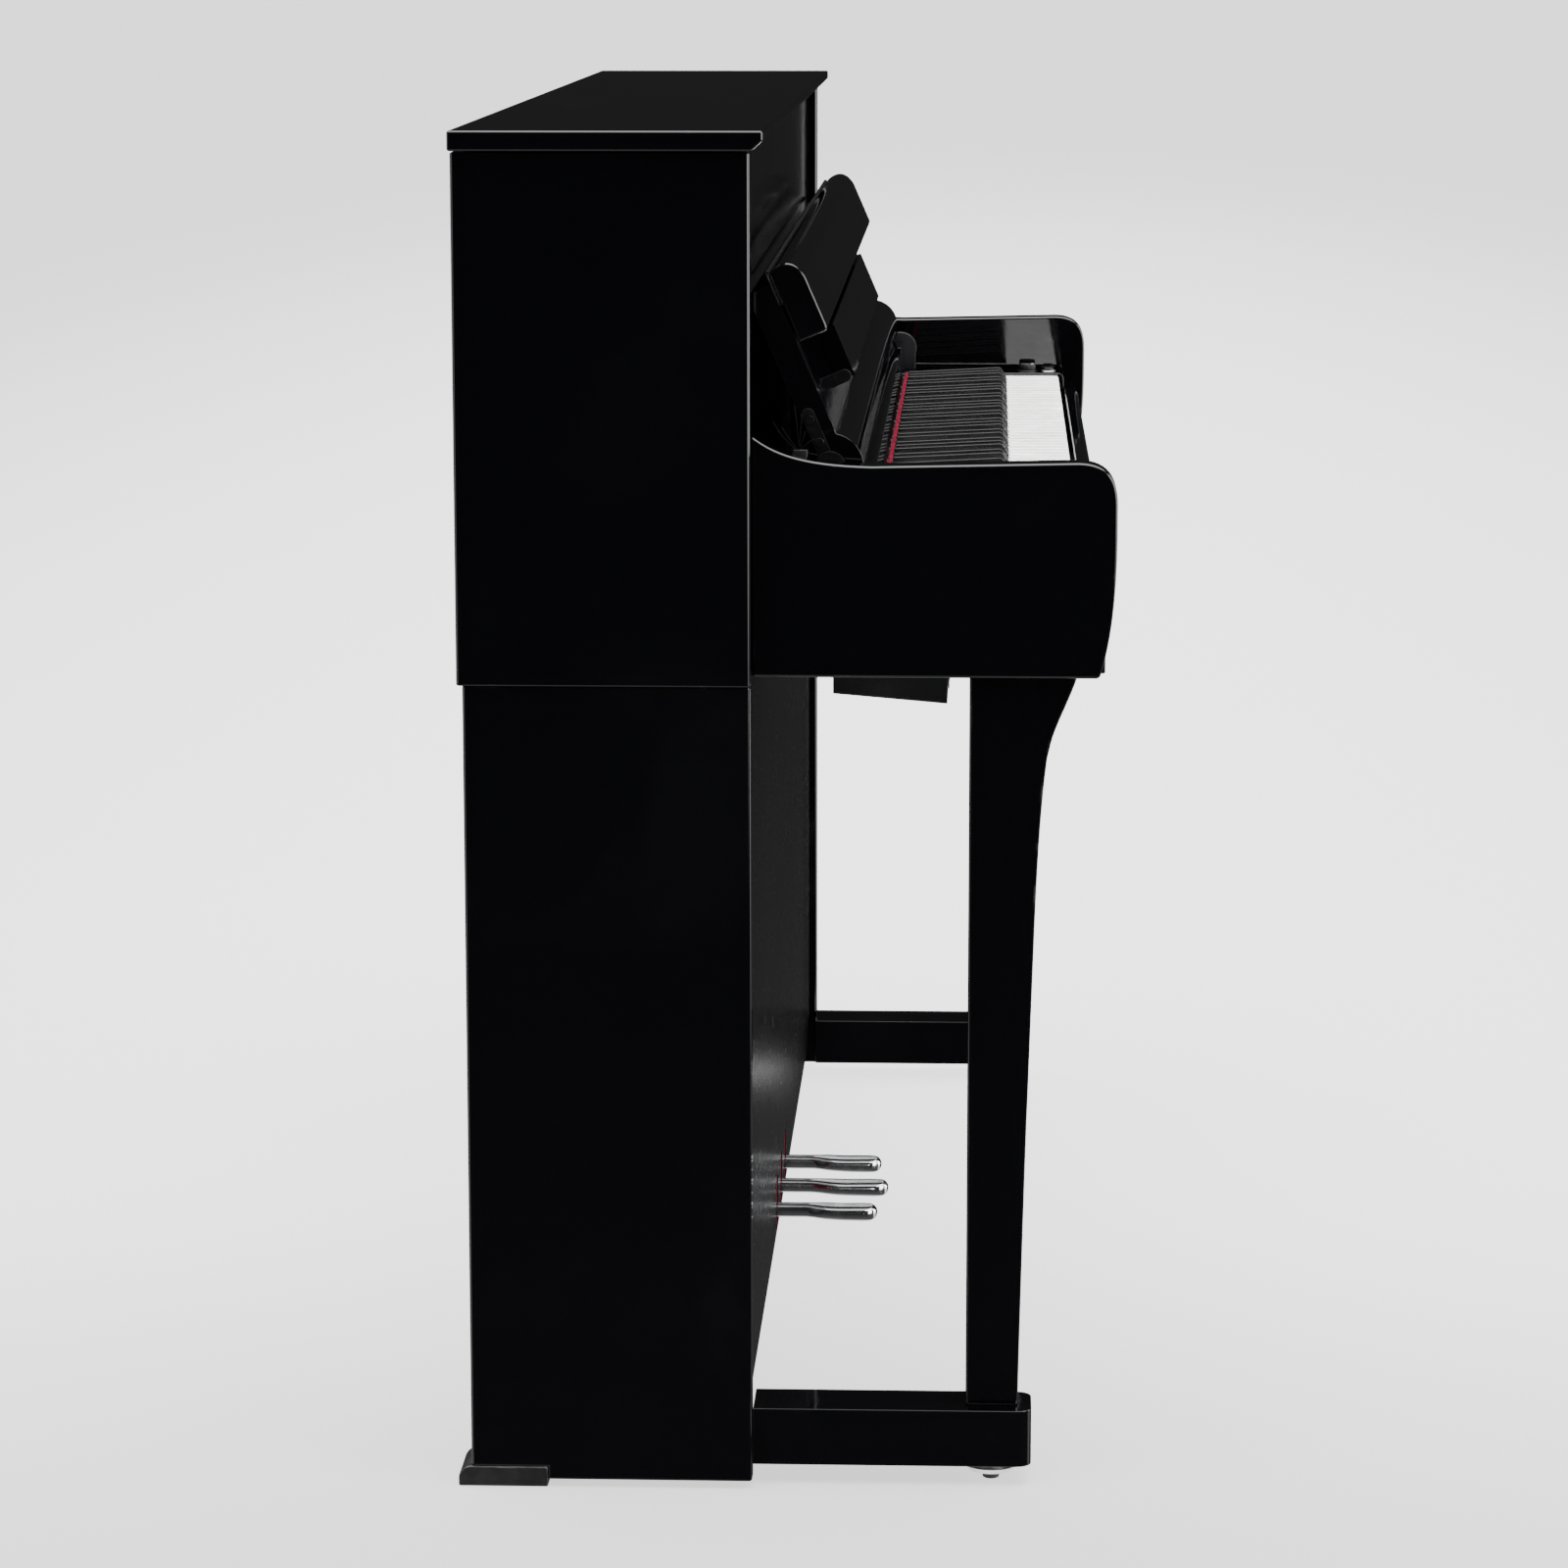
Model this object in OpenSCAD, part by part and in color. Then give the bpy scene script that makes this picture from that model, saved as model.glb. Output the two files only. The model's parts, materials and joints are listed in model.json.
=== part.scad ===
// Digital piano on stand: upright cabinet with 88 weighted keys, three pedals,
// a folding fallboard with a front lip and a music ledge, and a hinged lid.
// Millimetres. +Z up, player at -Y, bass end at -X, origin on the floor at the
// middle of the footprint.

/* [Overall] */
// Width of the lid, the widest piece
overall_w = 1434; // [1430:1:1440]
// Height to the top of the lid
overall_h = 1027; // [1026:0.5:1029]
// Depth from the arm noses to the rear feet
overall_d = 494.8; // [494:0.2:500]

/* [Cabinet] */
// Outer face of the upper side panels, from the middle
upper_side_x = 709; // [708:0.5:712]
// Outer face of the lower side panels, from the middle
lower_side_x = 707; // [706:0.5:708]
// Thickness of the side panels
side_t = 20; // [18:0.5:20]
// Front edge of the side panels
side_front_y = 23.1; // [22:0.1:24]
// Rear edge of the upper side panels
upper_back_y = 241.8; // [241:0.1:242]
// Rear edge of the lower side panels
lower_back_y = 237.5; // [236:0.1:238]
// Height of the seam between upper and lower side panels
seam_z = 618; // [616:0.5:619]
// Face of the recessed front panels
front_face_y = 30.7; // [30:0.1:32]
// Thickness of the front panels
front_t = 18; // [15:0.5:20]
// Lower edge of the upper front panel
recess_z = 890; // [880:1:895]
// Edge radius of the polished panels
edge_r = 3; // [2:0.5:4]

/* [Lid] */
// Thickness of the lid
lid_t = 15; // [14:0.5:16]
// Front edge of the lid
lid_front_y = 13; // [10:0.5:16]
// Rear edge of the lid
lid_back_y = 243; // [243:0.1:243.2]

/* [Arms and stand] */
// Outer face of the arms, from the middle
arm_x = 690; // [689:0.5:692]
// Thickness of the arms
arm_t = 26; // [25:0.5:26]
// Underside of the arms and the keybed
bed_z = 623; // [622:0.5:624]
// Height of the arm top along its straight part
arm_top = 781; // [779:0.5:783]
// Outer face of the toe blocks, from the middle
toe_x = 694; // [692:0.5:696]
// Width of the toe blocks
toe_w = 52; // [50:0.5:56]
// Height of the toe blocks' top
toe_top = 60; // [56:0.5:64]
// Height of the feet
foot_h = 16; // [15:0.5:16]
// Thickness of the legs, side to side
leg_w = 36; // [30:0.5:38]
// Diameter of the adjuster discs
adjuster_d = 44; // [40:0.5:46]

/* [Keyboard] */
// Spacing of the white keys
key_pitch = 23.6; // [23.5:0.05:23.6]
// Gap between neighbouring white keys
key_gap = 1.0; // [0.8:0.1:1.2]
// Height of the white key tops
key_top = 728.5; // [727:0.5:729]
// Front edge of the white keys
key_front_y = -220.5; // [-222:0.5:-219]
// Length of the wide head of a white key
key_head = 51.5; // [50:0.5:53]
// Width of a black key
black_w = 11.6; // [10:0.1:11.8]
// Height of the black keys above the white ones
black_rise = 12.5; // [11:0.5:13]

/* [Fallboard] */
// Lean of the open fallboard from upright, in degrees
lean = 23.3; // [22.5:0.1:24]
// Fallboard pivot, distance in front of the middle
pivot_y = -34; // [-34.5:0.1:-33.5]
// Fallboard pivot, height
pivot_z = 776; // [775.5:0.1:776.5]
// Radius of the rounded rear rail
rail_r = 25; // [24:0.1:25]
// Half width of the fallboard
board_x = 651; // [648:0.5:652]
// Half width of the music ledge
ledge_x = 412; // [380:1:420]

/* [Pedals] */
// Spacing of the pedals
pedal_pitch = 85; // [82:0.5:88]
// Height of the pedal pivot
pedal_z = 54; // [53:0.5:55]
// Distance of the pedal pivot behind the middle
pedal_pivot_y = 120; // [115:1:130]
// Width of a pedal paddle
pedal_w = 26; // [22:0.5:27]

/* [Hidden] */
$fn = 48;
eps = 0.01;
lid_z = overall_h - lid_t;
side_top = lid_z - 1;
half_d = overall_d / 2;
inner_ux = upper_side_x - side_t;
inner_lx = lower_side_x - side_t;
arm_in = arm_x - arm_t;
fb_in = arm_in - 0.5;
white_n = 52;
kb_half = white_n * key_pitch / 2;
key_bot = key_top - 22.5;
key_piv_y = 5;
lip_h = [150, 13.2];       // lip hinge in the fallboard's own frame
ledge_h = [41, 21.7];      // ledge pivot in the fallboard's own frame
hinge_y = 243.6;
hinge_z = lid_z - 0.8;
hinge_xs = [-520, 0, 520];
woofer_xs = [-380, 380];
woofer_z = 360;
jack_xs = [-622, -590];
black_after = [0, 1, 3, 4, 5];
black_off = [-2, 2, 0, -3, 0, 3, 0];

black_poly = [0.025, 0.025, 0.03];
black_satin = [0.06, 0.06, 0.065];
steel = [0.7, 0.7, 0.72];

// Extrudes a (Y, Z) outline along X from x0 to x1
module yz(x0, x1) {
  translate([x0, 0, 0]) rotate([90, 0, 90]) linear_extrude(x1 - x0) children();
}
// Extrudes an outline in the fallboard's own frame: x up the board, y out of its face
module board(x0, x1) {
  yz(x0, x1) translate([pivot_y, pivot_z]) rotate(90 - lean) children();
}
module block(x0, x1, y0, y1, z0, z1) {
  translate([x0, y0, z0]) cube([x1 - x0, y1 - y0, z1 - z0]);
}
// Rounded rectangle with true arcs, corners at (x0, y0) and (x1, y1)
module rrect(x0, y0, x1, y1, r) {
  translate([x0 + r, y0]) square([x1 - x0 - 2 * r, y1 - y0]);
  translate([x0, y0 + r]) square([x1 - x0, y1 - y0 - 2 * r]);
  for (x = [x0 + r, x1 - r], y = [y0 + r, y1 - r]) translate([x, y]) circle(r);
}
// Upright board with rounded vertical edges
module upright(x0, x1, y0, y1, z0, z1, r) {
  translate([0, 0, z0]) linear_extrude(z1 - z0) rrect(x0, y0, x1, y1, r);
}
module both() { children(); mirror([1, 0, 0]) children(); }

// Cubic curve from p0 to p3
function bez(p0, p1, p2, p3, n) = [for (i = [0:n]) let (t = i / n, u = 1 - t)
  u * u * u * p0 + 3 * u * u * t * p1 + 3 * u * t * t * p2 + t * t * t * p3];

// ---- cabinet sides ----
module upper_side() color(black_poly)
  upright(inner_ux, upper_side_x, side_front_y, upper_back_y, seam_z, side_top, edge_r);
module upper_side_left() mirror([1, 0, 0]) upper_side();
module upper_side_right() upper_side();

module lower_side() color(black_poly) difference() {
  upright(inner_lx, lower_side_x, side_front_y, lower_back_y, 6, seam_z, edge_r);
  block(inner_lx - 1, lower_side_x + 1, 178.6, 300, -1, foot_h);
}
module lower_side_left() mirror([1, 0, 0]) lower_side();
module lower_side_right() lower_side();

// ---- arms, legs, feet ----
arm_pts = concat(
  bez([side_front_y, 803], [6, 789], [-18, arm_top + 0.5], [-66, arm_top - 0.4], 14),
  bez([-214, 783.6], [-236, 784.6], [-half_d, 776], [-half_d, 752], 14),
  bez([-half_d, 738], [-half_d - 0.2, 700], [-245.6, 656], [-235, bed_z], 14),
  [[side_front_y, bed_z]]
);
module arm() color(black_poly) yz(arm_in, arm_x) polygon(arm_pts);
module arm_left() mirror([1, 0, 0]) arm();
module arm_right() arm();

leg_x1 = toe_x - 14;
leg_pts = concat(
  [[-138.7, toe_top], [-178.4, toe_top], [-179.4, 110], [-181.5, 200]],
  bez([-183.6, 280], [-188.6, 420], [-189, 500], [-196.9, 561], 16),
  bez([-199.4, 572], [-203.5, 588], [-211, 600], [-219, bed_z], 10),
  [[-138.7, bed_z]]
);
module legs() color(black_poly) both() yz(leg_x1 - leg_w, leg_x1) polygon(leg_pts);

module toe_plan() {
  translate([toe_x - toe_w, -178]) square([toe_w, 178 + side_front_y - 0.1]);
  translate([toe_x - toe_w + 11, -189]) square([toe_w - 22, 12]);
  for (x = [toe_x - toe_w + 11, toe_x - 11]) translate([x, -178]) circle(11);
}
adj_x = toe_x - toe_w / 2;
module toe_blocks() color(black_poly) both() difference() {
  translate([0, 0, foot_h]) linear_extrude(toe_top - foot_h) toe_plan();
  translate([adj_x, -158.5, 0]) cylinder(r = 5.3, h = 46);
}
module adjuster_feet() color([0.8, 0.8, 0.82]) both() translate([adj_x, -158.5, 0]) {
  cylinder(r = 6.5, h = 7.4 + eps);
  translate([0, 0, 7.4]) cylinder(r1 = adjuster_d / 2 - 4, r2 = adjuster_d / 2, h = 4.8);
  translate([0, 0, 12.2 - eps]) cylinder(r = 9, h = 3.8 + eps);
  translate([0, 0, 14]) cylinder(r = 5, h = 30);
}
module rear_feet() color(black_satin) both() yz(lower_side_x - 50, lower_side_x) difference() {
  translate([178.8, 0]) square([half_d - 178.8, foot_h]);
  difference() {
    translate([half_d - 10, foot_h - 10]) square([11, 11]);
    translate([half_d - 10, foot_h - 10]) circle(10);
  }
}

// ---- panels ----
module upper_front_panel() color(black_poly)
  block(-inner_ux, inner_ux, front_face_y, front_face_y + front_t, recess_z, side_top - 1);
slot_w = 36;
module lower_front_panel() color(black_poly) difference() {
  block(-inner_lx, inner_lx, front_face_y, front_face_y + front_t, 35, bed_z - 1);
  for (i = [-1:1]) yz(i * pedal_pitch - slot_w / 2, i * pedal_pitch + slot_w / 2)
    translate([front_face_y - 1, 38]) square([front_t + 2, 46]);
}
module upper_back_panel() color(black_satin)
  block(-inner_ux, inner_ux, 229, 241, seam_z + 2, side_top - 1.5);
module lower_back_panel() color(black_satin) difference() {
  block(-inner_lx, inner_lx, 225, 237, 30, seam_z - 1);
  for (x = woofer_xs) translate([x, 220, woofer_z]) rotate([-90, 0, 0]) cylinder(r = 66, h = 20);
  block(-566, -534, 220, 240, 96, 120);
}
module bottom_board() color(black_satin)
  block(-inner_lx, inner_lx, 51, 224, foot_h, 30);
module inner_board() color(black_satin)
  block(-inner_lx, inner_lx, front_face_y + front_t + 1, front_face_y + front_t + 13, bed_z + 1, recess_z + 60);
module keybed() color(black_satin)
  block(-fb_in, fb_in, -226, front_face_y + front_t, bed_z, 651);
module key_slip() color(black_poly) yz(-fb_in, fb_in) difference() {
  union() {
    translate([-240, bed_z]) square([13.5, 88]);
    translate([-234, 711]) circle(6);
    translate([-234, 704.5]) square([7.5, 12.5]);
  }
  translate([-240 - 3, bed_z - 3]) rotate(45) square([6, 6], center = true);
}
module key_block_shape() difference() {
  translate([-226, 651]) square([167, 80]);
  difference() {
    translate([-227, 725]) square([7, 7]);
    translate([-220, 725]) circle(6);
  }
}
module key_block_left() color(black_poly) mirror([1, 0, 0])
  yz(kb_half + 1.4, fb_in) key_block_shape();
knob_x = 640;
module key_block_right() color(black_poly) difference() {
  yz(kb_half + 1.4, fb_in) key_block_shape();
  translate([knob_x, -190, 718]) cylinder(r = 3.1, h = 20);
  translate([knob_x, -211, 722]) cylinder(r = 5.3, h = 20);
}
module cheek_caps() color([0.12, 0.12, 0.13]) both() yz(653.8, fb_in) difference() {
  union() {
    translate([-62.5, 752]) circle(16);
    translate([-77.5, 731]) square([22, 24]);
    translate([-62.5, 731]) square([12, 37]);
  }
  translate([-80, 720]) square([50, 11]);
  translate([pivot_y, pivot_z]) circle(rail_r + 1.2);
}
module name_board() color(black_poly) yz(-652, 652)
  polygon([[-69, 732], [-64.8, 760], [-55, 760], [-55, 732]]);
module name_board_felt() color([0.55, 0.08, 0.16])
  block(-kb_half, kb_half, -71, -57, 729.4, 732);

// ---- lid ----
module hinge_gap(x, c) block(x - 40 - c, x + 40 + c, hinge_y - 4, hinge_y + 8, hinge_z - 4, hinge_z + 4);
module lid() color(black_poly) difference() {
  union() {
    yz(-overall_w / 2, overall_w / 2) polygon(concat([[lid_back_y, lid_z], [lid_front_y + 9.5, lid_z]],
      bez([lid_front_y + 8.5, lid_z], [lid_front_y + 5, lid_z + 3], [lid_front_y, lid_z + 7], [lid_front_y, lid_z + 8.5], 8),
      bez([lid_front_y, lid_z + lid_t - 2], [lid_front_y, lid_z + lid_t - 0.6], [lid_front_y + 0.6, lid_z + lid_t],
        [lid_front_y + 2, lid_z + lid_t], 6), [[lid_back_y, lid_z + lid_t]]));
  }
  for (x = hinge_xs) hinge_gap(x, 1);
}
module knuckle_row(x0, n, len, r, odd) {
  for (i = [0:n - 1]) if ((i % 2 == 0) == !odd)
    translate([x0 + i * len + 0.2, 0, 0]) rotate([0, 90, 0]) cylinder(r = r, h = len - 0.4);
}
// Three butt hinges, fixed half with its pin
module lid_hinges() color(steel) for (x = hinge_xs) {
  difference() {
    union() {
      block(x - 40, x + 40, 241, 242.6, 985, hinge_z - 0.2);
      translate([0, hinge_y, hinge_z]) knuckle_row(x - 40, 5, 16, 2.8, false);
    }
    for (i = [1, 3]) translate([x - 40 + i * 16 - 0.2, hinge_y - 3.2, hinge_z - 3.2]) cube([16.4, 6.4, 6.4]);
  }
  translate([x - 39, hinge_y, hinge_z]) rotate([0, 90, 0]) cylinder(r = 1.4, h = 78);
}
// Moving half of the three butt hinges
module lid_hinge_straps() color(steel) for (x = hinge_xs) difference() {
  union() {
    block(x - 40, x + 40, 214, hinge_y - 4, lid_z - 1.6, lid_z);
    for (i = [1, 3]) {
      block(x - 40 + i * 16 + 0.2, x - 40 + (i + 1) * 16 - 0.2, hinge_y - 4 - eps, hinge_y, lid_z - 1.6, lid_z);
      translate([x - 40 + i * 16 + 0.2, hinge_y, hinge_z]) rotate([0, 90, 0]) cylinder(r = 2.8, h = 15.6);
    }
  }
  translate([x - 60, hinge_y, hinge_z]) rotate([0, 90, 0]) cylinder(r = 1.46, h = 120);
}

// ---- fallboard ----
module fallboard_panel() color(black_poly) board(-board_x, board_x) difference() {
  translate([rail_r, -6.3]) square([141.5 - rail_r, 20]);
  translate([124, 11.8]) square([30, 4]);
  difference() {
    translate([138.5, -7]) square([4, 4]);
    translate([138.5, -3.3]) circle(3);
  }
}
module fallboard_rail() color(black_poly) difference() {
  board(-board_x, board_x) {
    circle(rail_r);
    translate([0, -6.3]) square([rail_r, 20]);
  }
  for (s = [-1, 1]) translate([s * board_x, pivot_y, pivot_z]) rotate([0, 90, 0])
    cylinder(r = 5.07, h = 36, center = true);
}
lip_pts = concat(
  [[94, 15.6], [150.6, 15.6]],
  bez([151.2, 17], [154.6, 27], [152.4, 36.4], [137, 38.6], 14),
  bez([99, 38.8], [96, 38.8], [94, 37.8], [94, 35], 6)
);
module fallboard_lip() color(black_poly) board(-board_x + 2.5, board_x - 2.5) polygon(lip_pts);
lip_n = 15;
lip_len = 2 * (board_x - 3) / lip_n;
// Long hinge of the lip: the leaf let into the fallboard, its knuckles and the pin
module lip_hinge() color(steel) {
  difference() {
    board(-board_x + 3, board_x - 3) {
      translate([124.4, 11.9]) square([23.2, 1.3]);
      translate([147, 11.9]) square([3, 1.3]);
    }
    for (i = [1:2:lip_n - 2]) board(-board_x + 3 + i * lip_len - 0.3, -board_x + 3 + (i + 1) * lip_len + 0.3)
      translate([147.4, 9]) square([6, 8]);
  }
  for (i = [0:2:lip_n - 1]) board(-board_x + 3 + i * lip_len + 0.3, -board_x + 3 + (i + 1) * lip_len - 0.3)
    translate(lip_h) circle(2);
  board(-board_x + 4, board_x - 4) translate(lip_h) circle(0.9);
}
// Moving leaf of the long hinge
module lip_hinge_leaf() color(steel) difference() {
  union() {
    board(-board_x + 3, board_x - 3) translate([124.4, 14.2]) square([22.8, 1.4]);
    for (i = [1:2:lip_n - 2]) board(-board_x + 3 + i * lip_len + 0.3, -board_x + 3 + (i + 1) * lip_len - 0.3) {
      translate([147, 14.2]) square([3, 1.0]);
      translate(lip_h) circle(2);
    }
  }
  board(-board_x + 2, board_x - 2) translate(lip_h) circle(0.96);
}
module music_ledge() color(black_poly) difference() {
  board(-ledge_x, ledge_x) {
    rrect(38.5, 14, 82.5, 29.4, 2);
  }
  for (s = [-1, 1]) translate([s * ledge_x, 0, 0]) board(-14, 14) translate(ledge_h) circle(2.07);
}
// Strap on each end of the fallboard, and the ear and pin at each end of the ledge
module fallboard_fittings() color(steel) both() {
  board(board_x, board_x + 1.5) difference() {
    union() {
      circle(11);
      translate([0, -5]) square([42, 10]);
      translate([42, 0]) circle(5);
    }
    circle(5.6);
  }
  for (s = [20, 38]) board(board_x + 1.5 - eps, board_x + 2.4) translate([s, 0]) circle(3.2);
  board(ledge_x + 0.4, ledge_x + 3.4) {
    translate(ledge_h) circle(5);
    translate([ledge_h[0] - 5, 13.7]) square([10, 8]);
  }
  board(ledge_x - 12, ledge_x + 1) translate(ledge_h) circle(2);
}
// Bracket and pivot pin at each end of the fallboard
module fallboard_pivots() color(steel) both() {
  yz(654, 657) {
    translate([pivot_y, pivot_z]) circle(12);
    translate([pivot_y - 9, 731]) square([18, pivot_z - 731]);
  }
  board(636, 655) circle(5);
  for (z = [742, 755]) yz(657 - eps, 659) translate([pivot_y, z]) circle(3.2);
}

// ---- keys ----
function white_x(i) = (i + 0.5) * key_pitch - kb_half;
function note(i) = (i + 5) % 7;
function has_black(i) = i >= 0 && i < white_n - 1 && len(search(note(i), black_after)) > 0;
function edge_x(i) = (i + 1) * key_pitch - kb_half;

module white_key(i) difference() {
  union() {
    block(white_x(i) - (key_pitch - key_gap) / 2, white_x(i) + (key_pitch - key_gap) / 2,
      key_front_y + 1, 12, key_bot, key_top);
    block(white_x(i) - (key_pitch - key_gap) / 2, white_x(i) + (key_pitch - key_gap) / 2,
      key_front_y, key_front_y + 2, key_bot + 2, key_top - 1);
  }
  for (j = [i - 1, i]) if (has_black(j))
    block(edge_x(j) + black_off[note(j)] - black_w / 2 - 1.1, edge_x(j) + black_off[note(j)] + black_w / 2 + 1.1,
      key_front_y + key_head - 1.1, 20, key_bot - 1, key_top + 1);
}
module white_keys(k) color([0.94, 0.94, 0.92])
  for (i = [0:white_n - 1]) if (note(i) == k) white_key(i);
module keys_c() white_keys(0);
module keys_d() white_keys(1);
module keys_e() white_keys(2);
module keys_f() white_keys(3);
module keys_g() white_keys(4);
module keys_a() white_keys(5);
module keys_b() white_keys(6);

module black_key(i) let (x = edge_x(i) + black_off[note(i)])
  yz(x - black_w / 2, x + black_w / 2) polygon([
    [key_front_y + key_head, key_bot], [key_front_y + key_head, key_top + 2],
    [key_front_y + key_head + 5.5, key_top + black_rise - 0.8], [key_front_y + key_head + 8, key_top + black_rise],
    [-72.2, key_top + black_rise - 4.5], [-72.2, key_top - 1], [12, key_top - 1], [12, key_bot]]);
module black_keys(ks) color([0.08, 0.08, 0.08])
  for (i = [0:white_n - 2]) if (has_black(i) && len(search(note(i), ks)) > 0) black_key(i);
module black_keys_twos() black_keys([0, 1]);
module black_keys_threes() black_keys([3, 4, 5]);

// Steel frame under the keys with its fulcrum bar and front rail
module key_frame() color([0.35, 0.36, 0.38]) {
  block(-kb_half, kb_half, -205, 40, 651, 654);
  block(-kb_half, kb_half, -206, -190, 654 - eps, 688);
  yz(-kb_half, kb_half) {
    translate([key_piv_y - 4, 653]) square([8, key_bot - 657.3]);
    translate([key_piv_y, key_bot - 4.3]) circle(4);
  }
}
module key_sensor_board() color([0.05, 0.3, 0.15]) {
  block(-kb_half + 4, kb_half - 4, -130, -90, 672, 673.6);
  for (x = [-600, -400, -200, 0, 200, 400, 600]) translate([x, -110, 654]) cylinder(r = 3, h = 18 + eps);
  for (i = [0:white_n - 1]) translate([white_x(i), -110, 673.6 - eps]) cylinder(r = 5, h = 5);
}

// ---- pedals ----
module pedal(tip_y) color([0.85, 0.85, 0.87]) difference() {
  union() {
    intersection() {
      linear_extrude(200) {
        translate([-8, 20]) square([16, pedal_pivot_y - 20]);
        polygon([[-8, 34], [8, 34], [8, 6], [pedal_w / 2, tip_y + 46], [pedal_w / 2, tip_y + pedal_w / 2],
          [-pedal_w / 2, tip_y + pedal_w / 2], [-pedal_w / 2, tip_y + 46], [-8, 6]]);
        translate([0, tip_y + pedal_w / 2]) circle(pedal_w / 2);
      }
      yz(-40, 40) polygon(concat(
        [[pedal_pivot_y, pedal_z + 5.5], [10, pedal_z + 5.5]],
        bez([0, pedal_z + 5.5], [-20, pedal_z + 5.2], [tip_y + 30, pedal_z + 4.8], [tip_y + 10, pedal_z + 5.2], 8),
        bez([tip_y + 4, pedal_z + 5.2], [tip_y, pedal_z + 3], [tip_y, pedal_z - 4], [tip_y + 4, pedal_z - 7], 10),
        bez([tip_y + 8, pedal_z - 8], [tip_y + 30, pedal_z - 8], [-10, pedal_z - 7.5], [10, pedal_z - 5.5], 8),
        [[pedal_pivot_y, pedal_z - 5.5]]));
    }
    translate([-9, pedal_pivot_y, pedal_z]) rotate([0, 90, 0]) cylinder(r = 9, h = 18);
  }
  translate([-12, pedal_pivot_y, pedal_z]) rotate([0, 90, 0]) cylinder(r = 4.07, h = 24);
}
module pedal_soft() translate([-pedal_pitch, 0, 0]) pedal(-58);
module pedal_sostenuto() pedal(-66);
module pedal_damper() translate([pedal_pitch, 0, 0]) pedal(-58);
// Base plate, ears and the shaft that the pedals turn on
module pedal_frame() color([0.45, 0.46, 0.48]) {
  block(-135, 135, 90, 160, 30, 33);
  for (x = [-128, -50, 35, 120]) block(x, x + 6, 106, 134, 33 - eps, 68);
  translate([-132, pedal_pivot_y, pedal_z]) rotate([0, 90, 0]) cylinder(r = 4, h = 262);
}
module pedal_felts() color([0.55, 0.08, 0.16]) for (i = [-1:1]) difference() {
  block(i * pedal_pitch - slot_w / 2, i * pedal_pitch + slot_w / 2, front_face_y + 1, front_face_y + front_t, 38, 84);
  block(i * pedal_pitch - slot_w / 2 + 2, i * pedal_pitch + slot_w / 2 - 2, front_face_y, front_face_y + front_t + 1, 40, 82);
}

// ---- electronics ----
module main_board() color([0.05, 0.3, 0.15]) {
  block(-330, -130, 218, 219.6, 700, 850);
  for (x = [-320, -140], z = [710, 840]) translate([x, 219.6 - eps, z]) rotate([-90, 0, 0]) cylinder(r = 4, h = 9.4 + eps);
  block(-260, -220, 214.5, 218 + eps, 760, 800);
  block(-200, -180, 215.5, 218 + eps, 740, 790);
  for (z = [715:22:825]) block(-318, -300, 211, 218 + eps, z, z + 14);
}
module power_supply() color([0.75, 0.76, 0.78]) {
  block(150, 310, 222, 229, 690, 850);
  block(154, 306, 190, 222 + eps, 694, 846);
}
module woofers() color([0.12, 0.12, 0.12]) for (x = woofer_xs) translate([x, 225, woofer_z]) rotate([90, 0, 0])
  rotate_extrude() polygon([[0, 14], [18, 10], [24, 20], [62, 3], [66, 0], [80, 0], [80, 4], [68, 8],
    [46, 44], [46, 66], [0, 66]]);
module speaker_grilles() color(black_satin) for (x = woofer_xs) translate([x, 237, woofer_z]) rotate([-90, 0, 0]) {
  difference() {
    cylinder(r = 78, h = 3);
    translate([0, 0, -1]) cylinder(r = 69, h = 5);
  }
  translate([0, 0, 0.4]) cylinder(r = 69 + eps, h = 1.2);
}
module headphone_box() color(black_satin) difference() {
  yz(-646, -566) polygon([[-36, bed_z], [-36, 604.3], [-122, 597], [-122, bed_z]]);
  for (x = jack_xs) translate([x, -100, 610]) rotate([90, 0, 0]) cylinder(r = 3.25, h = 40);
}
module ac_inlet() color(black_satin) difference() {
  union() {
    block(-574, -526, 237, 240, 88, 128);
    block(-565.5, -534.5, 208, 237 + eps, 96.5, 119.5);
  }
  block(-562.5, -537.5, 214, 241, 99.5, 116.5);
  for (x = [-570, -530]) translate([x, 230, 108]) rotate([-90, 0, 0]) cylinder(r = 1.6, h = 20);
}
module volume_knob() color([0.15, 0.15, 0.16]) translate([knob_x, -190, 0]) {
  translate([0, 0, 720]) cylinder(r = 3, h = 12);
  translate([0, 0, 731.4]) cylinder(r = 8, h = 6);
  translate([0, 0, 737.4 - eps]) cylinder(r = 7, h = 1);
}
module power_button() color([0.15, 0.15, 0.16]) translate([knob_x, -211, 0]) {
  translate([0, 0, 725.5]) cylinder(r = 5, h = 8.5);
}
module power_lamp() color([0.95, 0.95, 0.95]) translate([628, -240, 690]) rotate([90, 0, 0])
  cylinder(r = 2.6, h = 0.9);
screw_xs = [-660, -440, -220, 0, 220, 440, 660];
module panel_screws() color(steel) {
  for (x = screw_xs, z = [634, 970]) translate([x, 238, z]) rotate([-90, 0, 0]) {
    cylinder(r = 1.7, h = 3 + eps);
    translate([0, 0, 3]) cylinder(r = 4, h = 1.8);
  }
  for (x = screw_xs, z = [44, 606]) translate([x, 234, z]) rotate([-90, 0, 0]) {
    cylinder(r = 1.7, h = 3 + eps);
    translate([0, 0, 3]) cylinder(r = 4, h = 1.8);
  }
}

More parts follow.
